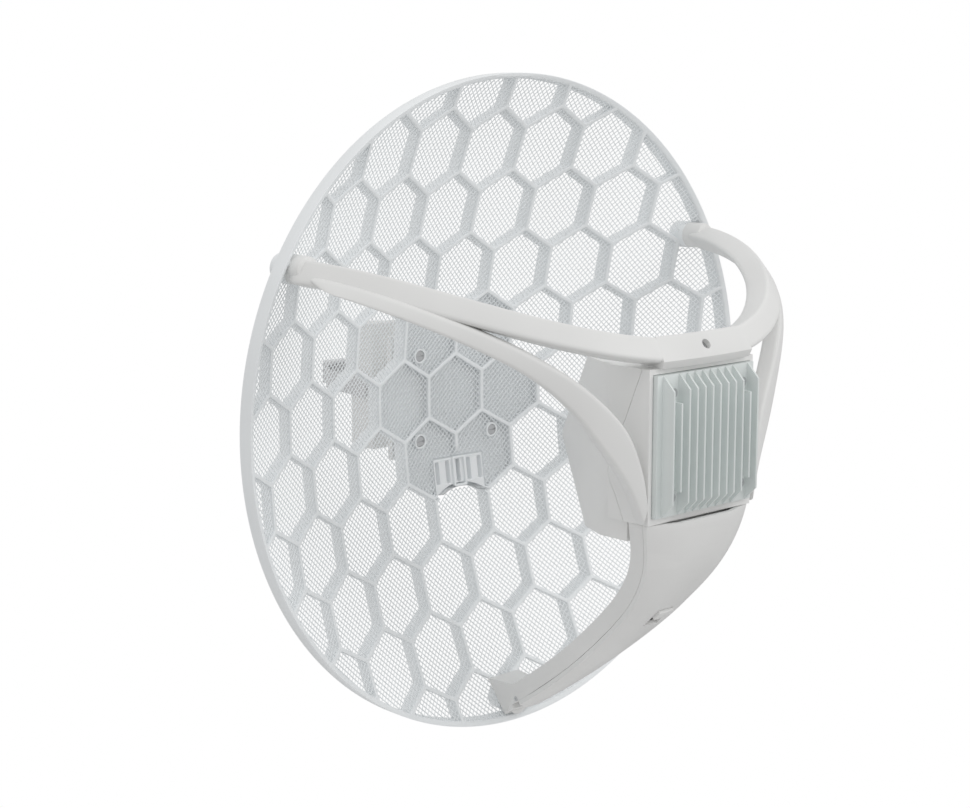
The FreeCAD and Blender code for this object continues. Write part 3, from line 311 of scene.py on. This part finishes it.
class Nodes:
    """Short way to build a material's node tree."""

    def __init__(self, name):
        self.material = bpy.data.materials.new(name)
        self.material.use_nodes = True
        self.tree = self.material.node_tree
        self.shader = self.tree.nodes["Principled BSDF"]
        self.place = self.add("ShaderNodeTexCoord").outputs["Object"]

    def add(self, kind, **values):
        node = self.tree.nodes.new(kind)
        for key, value in values.items():
            setattr(node, key, value)
        return node

    def link(self, source, target):
        self.tree.links.new(source, target)

    def noise(self, scale, detail=4.0, stretch=None):
        texture = self.add("ShaderNodeTexNoise")
        texture.inputs["Scale"].default_value = scale
        texture.inputs["Detail"].default_value = detail
        if stretch:
            mapping = self.add("ShaderNodeMapping")
            mapping.inputs["Scale"].default_value = stretch
            self.link(self.place, mapping.inputs["Vector"])
            self.link(mapping.outputs["Vector"], texture.inputs["Vector"])
        else:
            self.link(self.place, texture.inputs["Vector"])
        return texture.outputs["Fac"]

    def ramp(self, factor, low, high, colour_low, colour_high):
        node = self.add("ShaderNodeValToRGB")
        node.color_ramp.elements[0].position = low
        node.color_ramp.elements[1].position = high
        node.color_ramp.elements[0].color = (*colour_low, 1)
        node.color_ramp.elements[1].color = (*colour_high, 1)
        self.link(factor, node.inputs["Fac"])
        return node.outputs["Color"]

    def range(self, value, low, high):
        node = self.add("ShaderNodeMapRange")
        node.inputs["To Min"].default_value = low
        node.inputs["To Max"].default_value = high
        self.link(value, node.inputs["Value"])
        return node.outputs["Result"]

    def multiply(self, colour, factor_colour, amount=1.0):
        node = self.add("ShaderNodeMix", data_type="RGBA", blend_type="MULTIPLY")
        node.inputs[0].default_value = amount
        self.link(colour, node.inputs[6])
        self.link(factor_colour, node.inputs[7])
        return node.outputs[2]

    def bump(self, height, distance, strength=1.0, below=None):
        node = self.add("ShaderNodeBump")
        node.inputs["Distance"].default_value = distance * MM
        node.inputs["Strength"].default_value = strength
        self.link(height, node.inputs["Height"])
        if below is not None:
            self.link(below, node.inputs["Normal"])
        return node.outputs["Normal"]


def plastic(name, colour, rough=0.42, grain=0.5, shade=0.035):
    """Moulded plastic: faint mottling, a fine spark-eroded grain, painted shade that darkens creases and
    hollows, and convex edges left lightest as a painted highlight.
    """
    n = Nodes(name)
    low = tuple(c * (1 - shade) for c in colour)
    high = tuple(min(1.0, c * (1 + 0.4 * shade)) for c in colour)
    mottled = n.ramp(n.noise(14, 3), 0.35, 0.7, low, high)
    # painted shade: colour darkened where the surface is hollow (low pointiness), with convex edges kept
    # lightest as a painted edge highlight
    edge = n.add("ShaderNodeNewGeometry").outputs["Pointiness"]
    painted_crease_shade = n.ramp(edge, 0.42, 0.58, (0.93, 0.93, 0.93), (1.0, 1.0, 1.0))
    n.link(n.multiply(mottled, painted_crease_shade, 0.8), n.shader.inputs["Base Color"])
    n.link(n.range(n.noise(160, 3), rough - 0.05, rough + 0.07), n.shader.inputs["Roughness"])
    fine = n.bump(n.noise(2600, 2), 0.02, grain)
    n.link(n.bump(n.noise(35, 2), 0.10, 0.25, fine), n.shader.inputs["Normal"])
    n.shader.inputs["Specular IOR Level"].default_value = 0.45
    return n.material


def metal(name, colour, rough=0.35, stretch=None, grain_scale=900, grain=0.4, shade=0.08, metallic=1.0):
    """Bare metal with a blasted or brushed grain and slight tarnish."""
    n = Nodes(name)
    low = tuple(c * (1 - shade) for c in colour)
    n.link(n.ramp(n.noise(30, 4), 0.3, 0.75, low, colour), n.shader.inputs["Base Color"])
    n.shader.inputs["Metallic"].default_value = metallic
    n.link(n.range(n.noise(220, 3, stretch), rough - 0.08, rough + 0.1), n.shader.inputs["Roughness"])
    n.link(n.bump(n.noise(grain_scale, 2, stretch), 0.02, grain), n.shader.inputs["Normal"])
    return n.material


def laminate(name, colour):
    """Circuit board: solder mask with the faint relief of tracks under it."""
    n = Nodes(name)
    cells = n.add("ShaderNodeTexBrick")
    cells.inputs["Scale"].default_value = 260
    cells.inputs["Mortar Size"].default_value = 0.03
    n.link(n.place, cells.inputs["Vector"])
    tracks = n.ramp(cells.outputs["Fac"], 0.2, 0.8, colour, tuple(min(1, c * 1.5) for c in colour))
    n.link(tracks, n.shader.inputs["Base Color"])
    n.link(n.range(n.noise(200, 3), 0.25, 0.4), n.shader.inputs["Roughness"])
    n.link(n.bump(cells.outputs["Fac"], 0.03, 0.6), n.shader.inputs["Normal"])
    return n.material


def slot_colour(slot):
    """Base colour that the record gives a material slot."""
    return tuple(next(m["base_color"] for m in frame["record"]["materials"] if m["slot"] == slot)[:3])


def lighter(slot, factor):
    """A slot's colour made lighter, for pieces that shade each other deep in the bowl."""
    return tuple(min(0.96, value * factor) for value in slot_colour(slot))


HEATSINK_COLOUR = (0.80, 0.84, 0.83)

MATERIALS = {
    "grid_plastic": plastic("grid_plastic", lighter("grid_plastic", 1.15), 0.40),
    "screen_wire": plastic("screen_wire", lighter("screen_wire", 1.24), 0.45, 0.3),
    "arm_plastic": plastic("arm_plastic", slot_colour("arm_plastic"), 0.38),
    "housing_plastic": plastic("housing_plastic", slot_colour("housing_plastic"), 0.36),
    "cover_plastic": plastic("cover_plastic", slot_colour("cover_plastic"), 0.38),
    "bracket_plastic": plastic("bracket_plastic", slot_colour("bracket_plastic"), 0.5, 0.8),
    "card_plastic": plastic("card_plastic", slot_colour("card_plastic"), 0.3),
    "slot_plastic": plastic("slot_plastic", slot_colour("slot_plastic"), 0.45),
    "button_plastic": plastic("button_plastic", slot_colour("button_plastic"), 0.4),
    "gasket_rubber": plastic("gasket_rubber", slot_colour("gasket_rubber"), 0.75, 0.9),
    "pad_rubber": plastic("pad_rubber", slot_colour("pad_rubber"), 0.85, 0.9),
    "lead_jacket": plastic("lead_jacket", slot_colour("lead_jacket"), 0.5),
    "element_laminate": laminate("element_laminate", slot_colour("element_laminate")),
    "board_laminate": laminate("board_laminate", slot_colour("board_laminate")),
    "card_laminate": laminate("card_laminate", slot_colour("card_laminate")),
    "heatsink_aluminium": metal("heatsink_aluminium", HEATSINK_COLOUR, 0.6, None, 1400, 0.5, 0.05, 0.4),
    "plate_aluminium": metal("plate_aluminium", slot_colour("plate_aluminium"), 0.35, (1, 1, 30)),
    "screw_steel": metal("screw_steel", slot_colour("screw_steel"), 0.3),
    "can_steel": metal("can_steel", slot_colour("can_steel"), 0.3, (20, 1, 1)),
    "socket_steel": metal("socket_steel", slot_colour("socket_steel"), 0.3),
    "clamp_steel": metal("clamp_steel", slot_colour("clamp_steel"), 0.28, (1, 1, 40)),
}


# ------------------------------------------------------------------ grid

def make_ribs():
    """Rim and hexagonal ribs with rounded lips, which drop behind the cable vent."""
    rim = polygon((0, 0), RIM_RADIUS, 240)
    ribs = rounded_plate("grid_ribs", [rim] + cell_openings(), 0, RIB_DEPTH, LIP_ROUNDING)
    for vertex in ribs.data.vertices:
        x, z = vertex.co.x / MM, vertex.co.z / MM
        if in_vent(x, z):
            vertex.co.y = max(vertex.co.y, row(x, dish_y(x, z) + FLOOR_BACK - VENT_LAP, z).y)
    dress(ribs, "antenna", "grid_plastic", "reflector_frame")


def cell_triangles(centre, parts=6):
    """Small triangles that fill one hexagonal cell up to the middle of its ribs."""
    corners = polygon(centre, CELL_PITCH / math.sqrt(3), 6, math.pi / 2)
    for (ax, az), (bx, bz) in zip(corners, corners[1:] + corners[:1]):
        grid = {}
        for i in range(parts + 1):
            for j in range(parts + 1 - i):
                u, v = i / parts, j / parts
                grid[i, j] = (centre[0] + u * (ax - centre[0]) + v * (bx - centre[0]),
                              centre[1] + u * (az - centre[1]) + v * (bz - centre[1]))
        for i, j in grid:
            if i + j < parts:
                yield grid[i, j], grid[i + 1, j], grid[i, j + 1]
            if i + j < parts - 1:
                yield grid[i + 1, j], grid[i + 1, j + 1], grid[i, j + 1]


def make_floor_plate():
    """Solid floor behind the seven middle cells, open where the cable vent stands."""
    centres = [(0.0, 0.0)] + polygon((0, 0), CELL_PITCH, 6)
    points, faces = [], []
    for centre in centres:
        for triangle in cell_triangles(centre):
            faces.append((len(points), len(points) + 1, len(points) + 2))
            points += [row(x, 0, z) for x, z in triangle]
    plate = add_mesh("floor_plate", points, faces)
    work = bmesh.new()
    work.from_mesh(plate.data)
    bmesh.ops.remove_doubles(work, verts=work.verts, dist=1e-5)
    side = (VENT_HALF_WIDTH - VENT_LAP) * MM
    top = (VENT_TOP - VENT_LAP) * MM
    for place, normal in (((side, 0, 0), (1, 0, 0)), ((-side, 0, 0), (1, 0, 0)), ((0, 0, top), (0, 0, 1))):
        geometry = list(work.verts) + list(work.edges) + list(work.faces)
        bmesh.ops.bisect_plane(work, geom=geometry, plane_co=place, plane_no=normal, dist=1e-7)
    middles = {face: face.calc_center_median() for face in work.faces}
    notch = [face for face, at in middles.items() if abs(at.x) < side and at.z < top]
    bmesh.ops.delete(work, geom=notch, context="FACES")
    for vertex in work.verts:
        x, z = vertex.co.x / MM, vertex.co.z / MM
        vertex.co = row(x, dish_y(x, z) + FLOOR_FRONT, z)
    front = list(work.faces)
    back = bmesh.ops.extrude_face_region(work, geom=front, use_keep_orig=True)
    moved = [item for item in back["geom"] if isinstance(item, bmesh.types.BMVert)]
    bmesh.ops.translate(work, verts=moved, vec=(0, (FLOOR_BACK - FLOOR_FRONT) * MM, 0))
    work.to_mesh(plate.data)
    work.free()
    clean(plate)
    dress(plate, "antenna", "grid_plastic", "reflector_frame")


def rectangle(left, right, low, high, rounding):
    """Rounded rectangle, counter-clockwise."""
    corners = [(left, low), (right, low), (right, high), (left, high)]
    return subdivide(fillet(corners, rounding), 3.0)


def make_vent():
    """Slotted cable vent with a raised frame round its middle slot."""
    half_angle = math.asin(VENT_HALF_WIDTH / ARC_RADIUS)
    angles = [half_angle * step / ARC_STEPS for step in range(-ARC_STEPS, ARC_STEPS + 1)]
    arc = [(ARC_RADIUS * math.sin(angle), ARC_CENTRE[1] + ARC_RADIUS * math.cos(angle)) for angle in angles]
    outline = arc + [(VENT_HALF_WIDTH, VENT_TOP), (-VENT_HALF_WIDTH, VENT_TOP)]
    half = SLOT_WIDTH / 2
    middles = [SLOT_PITCH * i for i in range(-2, 3)]
    slots = [rectangle(x - half, x + half, SLOT_LOW, SLOT_HIGH, SLOT_ROUNDING) for x in middles]
    panel = rounded_plate("vent_panel", [subdivide(outline, 3.0)] + slots, VENT_FRONT, FLOOR_BACK, 0.25)
    dress(panel, "antenna", "grid_plastic", "reflector_frame")
    outer = rectangle(*VENT_FRAME_OUTER, 1.4)
    inner = rectangle(*VENT_FRAME_INNER, 0.8)
    frame_ring = rounded_plate("vent_frame", [outer, inner], VENT_FRAME_FRONT, VENT_FRONT + VENT_LAP, 0.3)
    dress(frame_ring, "antenna", "grid_plastic", "reflector_frame")


def lathe(name, place, profile, sides=48):
    """Ring turned about an axis along Y from a closed profile of (radius, y)."""
    points, faces = [], []
    count = len(profile)
    for turn in range(sides):
        angle = 2 * math.pi * turn / sides
        for radius, y in profile:
            points.append(row(place[0] + radius * math.cos(angle), y, place[1] + radius * math.sin(angle)))
    for turn in range(sides):
        here, there = turn * count, (turn + 1) % sides * count
        for i in range(count):
            j = (i + 1) % count
            faces.append((here + i, here + j, there + j, there + i))
    return clean(add_mesh(name, points, faces), 35.0)


def make_screw_bosses():
    """Bosses of the bracket screws, with the recess that each head sits in."""
    for index, (x, z) in enumerate(bracket_screws()):
        mouth = dish_y(x, z)
        front, floor = mouth + VENT_FRONT, mouth + SCREW_RECESS_DEPTH
        outer, inner = SCREW_BOSS_RADIUS, SCREW_RECESS_RADIUS
        profile = [(SCREW_HOLE_RADIUS, BOSS_LENGTH), (outer, BOSS_LENGTH),
                   (outer, front + 0.3), (outer - 0.1, front + 0.08), (outer - 0.3, front),
                   (inner + 0.3, front), (inner + 0.08, front + 0.1), (inner, front + 0.35),
                   (inner, floor), (SCREW_HOLE_RADIUS, floor)]
        boss = lathe(f"screw_boss_{index}", (x, z), profile)
        dress(boss, "antenna", "grid_plastic", "reflector_frame")


def foot_seat():
    """Y of the foot bosses' front faces."""
    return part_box("arm_foot_screws")[1].y / MM - VERTEX_Y - FOOT_SCREW_HEAD - FOOT_BOSS_LENGTH


def make_foot_bosses():
    """Bosses on the rim that the three arm feet are screwed to from behind."""
    seat = foot_seat()
    for index, place in enumerate(feet()):
        back = seat + FOOT_BOSS_LENGTH
        outer = FOOT_BOSS_RADIUS
        profile = [(SCREW_HOLE_RADIUS, back),
                   (outer - 0.4, back), (outer - 0.1, back - 0.1), (outer, back - 0.4),
                   (outer, seat + 0.4), (outer - 0.1, seat + 0.1), (outer - 0.4, seat),
                   (SCREW_HOLE_RADIUS, seat)]
        boss = lathe(f"foot_boss_{index}", place, profile)
        dress(boss, "antenna", "grid_plastic", "reflector_frame")


def wire_runs(sign):
    """Runs of points along the wires of one direction, with over-and-under weave."""
    count = int(RIM_RADIUS / WIRE_PITCH)
    reach = RIM_RADIUS - 0.6 * RIM_WALL
    root = math.sqrt(0.5)
    for across in range(-count, count + 1):
        run = []
        for along in range(-count, count + 1):
            u, v = across * WIRE_PITCH, along * WIRE_PITCH
            x, z = (u + sign * v) * root, (v - sign * u) * root
            open_here = math.hypot(x, z) < reach and not in_vent(x, z) and not on_boss(x, z)
            if open_here:
                lift = WEAVE * sign * (1 if (across + along) % 2 else -1)
                run.append((x, dish_y(x, z) + WIRE_BACK + lift, z))
            elif run:
                yield run
                run = []
        if run:
            yield run


def on_boss(x, z):
    """Whether a place lies on a screw boss or an arm foot, where no wire runs."""
    for centre, radius in BOSSES:
        if math.hypot(x - centre[0], z - centre[1]) < radius:
            return True
    return False


def feet():
    """Places of the three arm feet."""
    angles = [math.radians(angle) for angle in FOOT_ANGLES]
    return [(FOOT_RADIUS * math.cos(angle), FOOT_RADIUS * math.sin(angle)) for angle in angles]


def bracket_screws():
    """Places of the four screws that hold the rear bracket."""
    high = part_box("bracket_screws")[1]
    x, z = high.x / MM - SCREW_HEAD_RADIUS, high.z / MM - SCREW_HEAD_RADIUS
    return [(-x, -z), (-x, z), (x, -z), (x, z)]


BOSSES = [(place, SCREW_BOSS_RADIUS) for place in bracket_screws()]
BOSSES += [(place, FOOT_BOSS_RADIUS) for place in feet()]


def make_wires():
    """Woven wire screen, one piece for each direction of wire."""
    root = math.sqrt(0.5)
    for name, sign in (("wires_rising", 1), ("wires_falling", -1)):
        points, faces = [], []
        side = Vector((sign * root, 0, root)).cross(Vector((0, 1, 0)))
        for run in wire_runs(sign):
            if len(run) < 2:
                continue
            first = len(points)
            for x, y, z in run:
                centre = row(x, y, z)
                for turn in range(4):
                    angle = math.pi / 2 * turn
                    offset = side * math.cos(angle) + Vector((0, 1, 0)) * math.sin(angle)
                    points.append(centre + offset * WIRE_RADIUS * MM)
            for i in range(len(run) - 1):
                a = first + 4 * i
                for turn in range(4):
                    b = (turn + 1) % 4
                    faces.append((a + turn, a + b, a + 4 + b, a + 4 + turn))
            last = first + 4 * (len(run) - 1)
            faces += [(first + 3, first + 2, first + 1, first), (last, last + 1, last + 2, last + 3)]
        wires = add_mesh(name, points, faces)
        clean(wires, 70.0, 1e-9)
        dress(wires, "antenna", "screen_wire", "reflector_screen")


make_ribs()
make_floor_plate()
make_vent()
make_screw_bosses()
make_foot_bosses()
make_wires()


# ------------------------------------------------------------------ forked side arms

ARM_CENTRE_Y = -7.4
ARM_HALF_SPAN = 168.0
ARM_REACH = 193.4
CREST_SEAM_ANGLE = 11.6
CREST_FOOT_ANGLE = 76.9
CREST_DROP_POWER = 1.9
CREST_FOOT_Z = 98.5
CREST_FRONT_Z = 58.9
# Corners of the upper branch's section, outwards and upwards from its crest.
BRANCH_ROOF = [(0.0, 0.0), (-14.0, -6.0), (-3.0, -15.5), (8.5, -12.5)]
BRANCH_BAND = 10.0
ROOF_ROUNDING = 2.4
BAND_ROUNDING = 2.6
# Share of each branch over which its start is rounded.
ROOF_START = 0.05
BAND_START = 0.06
# Half span and reach of the plan ellipses that the lower branch's two edges follow.
UPPER_EDGE = (177.0, 201.0)
LOWER_EDGE = (185.0, 199.4)
# Upper and lower edge of the lower branch from the foot to the housing: x and z of each.
LOWER_BRANCH = [(169.0, 91.0, 171.0, 84.0), (150.0, 82.0, 154.0, 74.0), (120.0, 65.0, 126.0, 57.0),
                (97.5, 50.7, 104.0, 42.0), (75.4, 33.6, 85.0, 24.0), (56.0, 12.0, 69.0, 2.5),
                (46.5, -10.0, 54.0, -20.0), (43.0, -30.0, 45.0, -41.0)]
POST_RADIUS = 8.0
POST_LENGTH = 13.0
GRID_CLEARANCE = 0.4


def outward(x, y):
    """Level unit vector away from the middle of the arms' plan ellipse."""
    return Vector((x / ARM_HALF_SPAN ** 2, (y - ARM_CENTRE_Y) / ARM_REACH ** 2, 0)).normalized()


def on_ellipse(x, half_span, reach):
    """Y of an ellipse in plan at a distance x from the middle."""
    return ARM_CENTRE_Y - reach * math.sqrt(max(0.0, 1 - (x / half_span) ** 2))


def through_stations(stations, share):
    """Values between stations, on a smooth curve through all of them."""
    place = share * (len(stations) - 1)
    first = min(int(place), len(stations) - 2)
    t = place - first
    around = [stations[min(max(first + step, 0), len(stations) - 1)] for step in (-1, 0, 1, 2)]
    return [0.5 * (2 * b + (c - a) * t
                   + (2 * a - 5 * b + 4 * c - d) * t * t
                   + (3 * b - a - 3 * c + d) * t ** 3)
            for a, b, c, d in zip(*around)]


def end_scale(share, length):
    """Size of a section near the rounded start of a branch, from nearly nothing to full."""
    if share >= length:
        return 1.0
    return max(0.25, math.sqrt(1 - (1 - share / length) ** 2))


def upper_ring(share):
    """Rounded section of the upper branch at a share of the way from the foot to the saddle."""
    angle = math.radians(CREST_FOOT_ANGLE + (CREST_SEAM_ANGLE - CREST_FOOT_ANGLE) * share)
    x, y = ARM_HALF_SPAN * math.sin(angle), ARM_CENTRE_Y - ARM_REACH * math.cos(angle)
    y_foot = ARM_CENTRE_Y - ARM_REACH * math.cos(math.radians(CREST_FOOT_ANGLE))
    y_front = ARM_CENTRE_Y - ARM_REACH * math.cos(math.radians(CREST_SEAM_ANGLE))
    drop = max(0.0, (y_foot - y) / (y_foot - y_front)) ** CREST_DROP_POWER
    crest = Vector((x, y, CREST_FOOT_Z - (CREST_FOOT_Z - CREST_FRONT_Z) * drop))
    out = outward(x, y)
    size = end_scale(share, ROOF_START)
    corners = len(BRANCH_ROOF)
    middle = Vector((sum(a for a, _ in BRANCH_ROOF) / corners, sum(b for _, b in BRANCH_ROOF) / corners))
    section = [middle + (Vector(corner) - middle) * size for corner in BRANCH_ROOF]
    return [crest + out * a + Vector((0, 0, b)) for a, b in fillet(section, ROOF_ROUNDING)]


def lower_ring(share):
    """Rounded section of the lower branch at a share of the way from the foot to the housing."""
    x_up, z_up, x_low, z_low = through_stations(LOWER_BRANCH, share)
    upper = Vector((x_up, on_ellipse(x_up, *UPPER_EDGE), z_up))
    lower = Vector((x_low, on_ellipse(x_low, *LOWER_EDGE), z_low))
    out = outward(x_up, upper.y)
    down = (lower - upper).normalized()
    width = (lower - upper).length
    size = end_scale(share, BAND_START)
    section = [(0, 0), (width, 0), (width, BRANCH_BAND), (0, BRANCH_BAND)]
    middle = Vector((width / 2, BRANCH_BAND / 2))
    section = [middle + (Vector(corner) - middle) * size for corner in section]
    return [upper + down * a - out * b for a, b in fillet(section, BAND_ROUNDING)]


def sweep(name, ring_at, mirror, stations=96):
    """Tube through rounded sections, kept in front of the grid."""
    points, faces = [], []
    for station in range(stations + 1):
        # the first stations are close together, where the end is rounded
        ring = ring_at((station / stations) ** 1.25)
        for point in ring:
            y = min(point.y, dish_y(point.x, point.z) - GRID_CLEARANCE)
            points.append(row(mirror * point.x, y, point.z))
    count = len(ring)
    for station in range(stations):
        here, there = station * count, (station + 1) * count
        for i in range(count):
            j = (i + 1) % count
            faces.append((here + i, here + j, there + j, there + i))
    faces.append(tuple(reversed(range(count))))
    faces.append(tuple(range(stations * count, (stations + 1) * count)))
    return clean(add_mesh(name, points, faces), 50.0)


def make_arms():
    """Both forked arms: a roof-shaped branch to the saddle, a band to the housing, and a post on the rim."""
    for side, mirror, foot in (("right", 1, feet()[0]), ("left", -1, feet()[1])):
        node = side + "_arm"
        dress(sweep(side + "_upper_branch", upper_ring, mirror), "antenna", "arm_plastic", node)
        dress(sweep(side + "_lower_branch", lower_ring, mirror), "antenna", "arm_plastic", node)
        seat = foot_seat()
        end = seat - POST_LENGTH
        profile = [(SCREW_HOLE_RADIUS, seat), (POST_RADIUS, seat), (POST_RADIUS, end + 2.0),
                   (POST_RADIUS - 0.6, end + 0.6), (POST_RADIUS - 2.0, end), (SCREW_HOLE_RADIUS, end)]
        dress(lathe(side + "_foot_post", foot, profile), "antenna", "arm_plastic", node)


make_arms()


# ------------------------------------------------------------------ CAD nodes with rounded edges

EDGE_WIDTHS = {
    "top_saddle": 0.8, "feed_housing": 1.2, "rear_cover": 1.2,
    "heatsink": 0.25, "cable_arm": 0.6, "cable_cover": 0.6, "cover_latch": 0.4, "rear_bracket": 0.8,
    "pole_bracket": 0.8, "clamp_housing": 0.3, "tilt_nut": 0.3, "tilt_bolt": 0.3,
}


def body_of_node(node):
    """Body that a node belongs to."""
    bodies = frame["record"]["behaviour"]["bodies"]
    return next(name for name, nodes in bodies.items() if node in nodes)


SLOTS = {part["node"]: part["material_slot"] for part in frame["record"]["subparts"]}

for node, width in EDGE_WIDTHS.items():
    dress(softened(node + "_soft", node, width), body_of_node(node), SLOTS[node], node)

for node, obj in frame["nodes"].items():
    if not obj.hide_render:
        obj.data.materials.clear()
        obj.data.materials.append(MATERIALS[SLOTS[node]])


# ------------------------------------------------------------------ camera, light and floor

CAMERA_TARGET = Vector((24.77, -88.0, -9.68)) * MM
CAMERA_AZIMUTH = math.radians(-42.495)
CAMERA_ELEVATION = math.radians(10.009)
CAMERA_DISTANCE = 1204.1 * MM
CAMERA_LENS = 71.2
FLOOR_HALF_WIDTH = 1.0
FLOOR_DROP = 1.0
SKY_ABOVE = 0.84
SKY_LEVEL = 0.70
SKY_BELOW = 0.20


def make_camera():
    """Camera at the photograph's viewing angle."""
    data = bpy.data.cameras.new("camera")
    data.lens = CAMERA_LENS
    data.sensor_width = 36.0
    data.clip_start = 0.01
    camera = bpy.data.objects.new("camera", data)
    bpy.context.collection.objects.link(camera)
    level = math.cos(CAMERA_ELEVATION)
    back = Vector((math.sin(CAMERA_AZIMUTH) * level, -math.cos(CAMERA_AZIMUTH) * level,
                   math.sin(CAMERA_ELEVATION)))
    camera.location = CAMERA_TARGET + back * CAMERA_DISTANCE
    camera.rotation_euler = (-back).to_track_quat("-Z", "Y").to_euler()
    bpy.context.scene.camera = camera


def make_light(name, place, size, power, target=(0.0, -0.1, 0.0)):
    """Soft square lamp aimed at the object."""
    data = bpy.data.lights.new(name, "AREA")
    data.size = size
    data.energy = power
    lamp = bpy.data.objects.new(name, data)
    lamp.location = place
    lamp.rotation_euler = (Vector(place) - Vector(target)).to_track_quat("Z", "Y").to_euler()
    bpy.context.collection.objects.link(lamp)


def make_floor():
    """Wide pale floor well below the hanging antenna."""
    size = FLOOR_HALF_WIDTH
    height = cad_low.z - FLOOR_DROP
    corners = [(-size, -size, height), (size, -size, height), (size, size, height), (-size, size, height)]
    floor = add_mesh("floor", corners, [(0, 1, 2, 3)])
    floor.data.materials.append(plastic("floor_paint", (0.92, 0.92, 0.92), 0.8, 0.2, 0.01))


def make_sky():
    """White surroundings that light the object more from above than from below."""
    world = bpy.data.worlds.new("studio")
    world.use_nodes = True
    nodes, links = world.node_tree.nodes, world.node_tree.links
    direction = nodes.new("ShaderNodeSeparateXYZ")
    links.new(nodes.new("ShaderNodeTexCoord").outputs["Generated"], direction.inputs["Vector"])
    height = nodes.new("ShaderNodeMapRange")
    height.inputs["From Min"].default_value = -1.0
    links.new(direction.outputs["Z"], height.inputs["Value"])
    ramp = nodes.new("ShaderNodeValToRGB")
    ramp.color_ramp.elements[0].color = (SKY_BELOW, SKY_BELOW, SKY_BELOW, 1)
    ramp.color_ramp.elements[1].color = (SKY_ABOVE, SKY_ABOVE, SKY_ABOVE, 1)
    level = ramp.color_ramp.elements.new(0.5)
    level.color = (SKY_LEVEL, SKY_LEVEL, SKY_LEVEL, 1)
    links.new(height.outputs["Result"], ramp.inputs["Fac"])
    backdrop = nodes.new("ShaderNodeBackground")
    backdrop.inputs["Color"].default_value = (1, 1, 1, 1)
    choice = nodes.new("ShaderNodeMixShader")
    links.new(nodes.new("ShaderNodeLightPath").outputs["Is Camera Ray"], choice.inputs[0])
    links.new(ramp.outputs["Color"], nodes["Background"].inputs["Color"])
    links.new(nodes["Background"].outputs[0], choice.inputs[1])
    links.new(backdrop.outputs[0], choice.inputs[2])
    links.new(choice.outputs[0], nodes["World Output"].inputs["Surface"])
    bpy.context.scene.world = world


make_camera()
make_light("key", (0.9, -2.2, 1.3), 1.6, 11)
make_light("fill", (-0.4, -0.6, 2.4), 1.8, 3)
make_floor()
make_sky()
bpy.context.scene.view_settings.view_transform = "Standard"
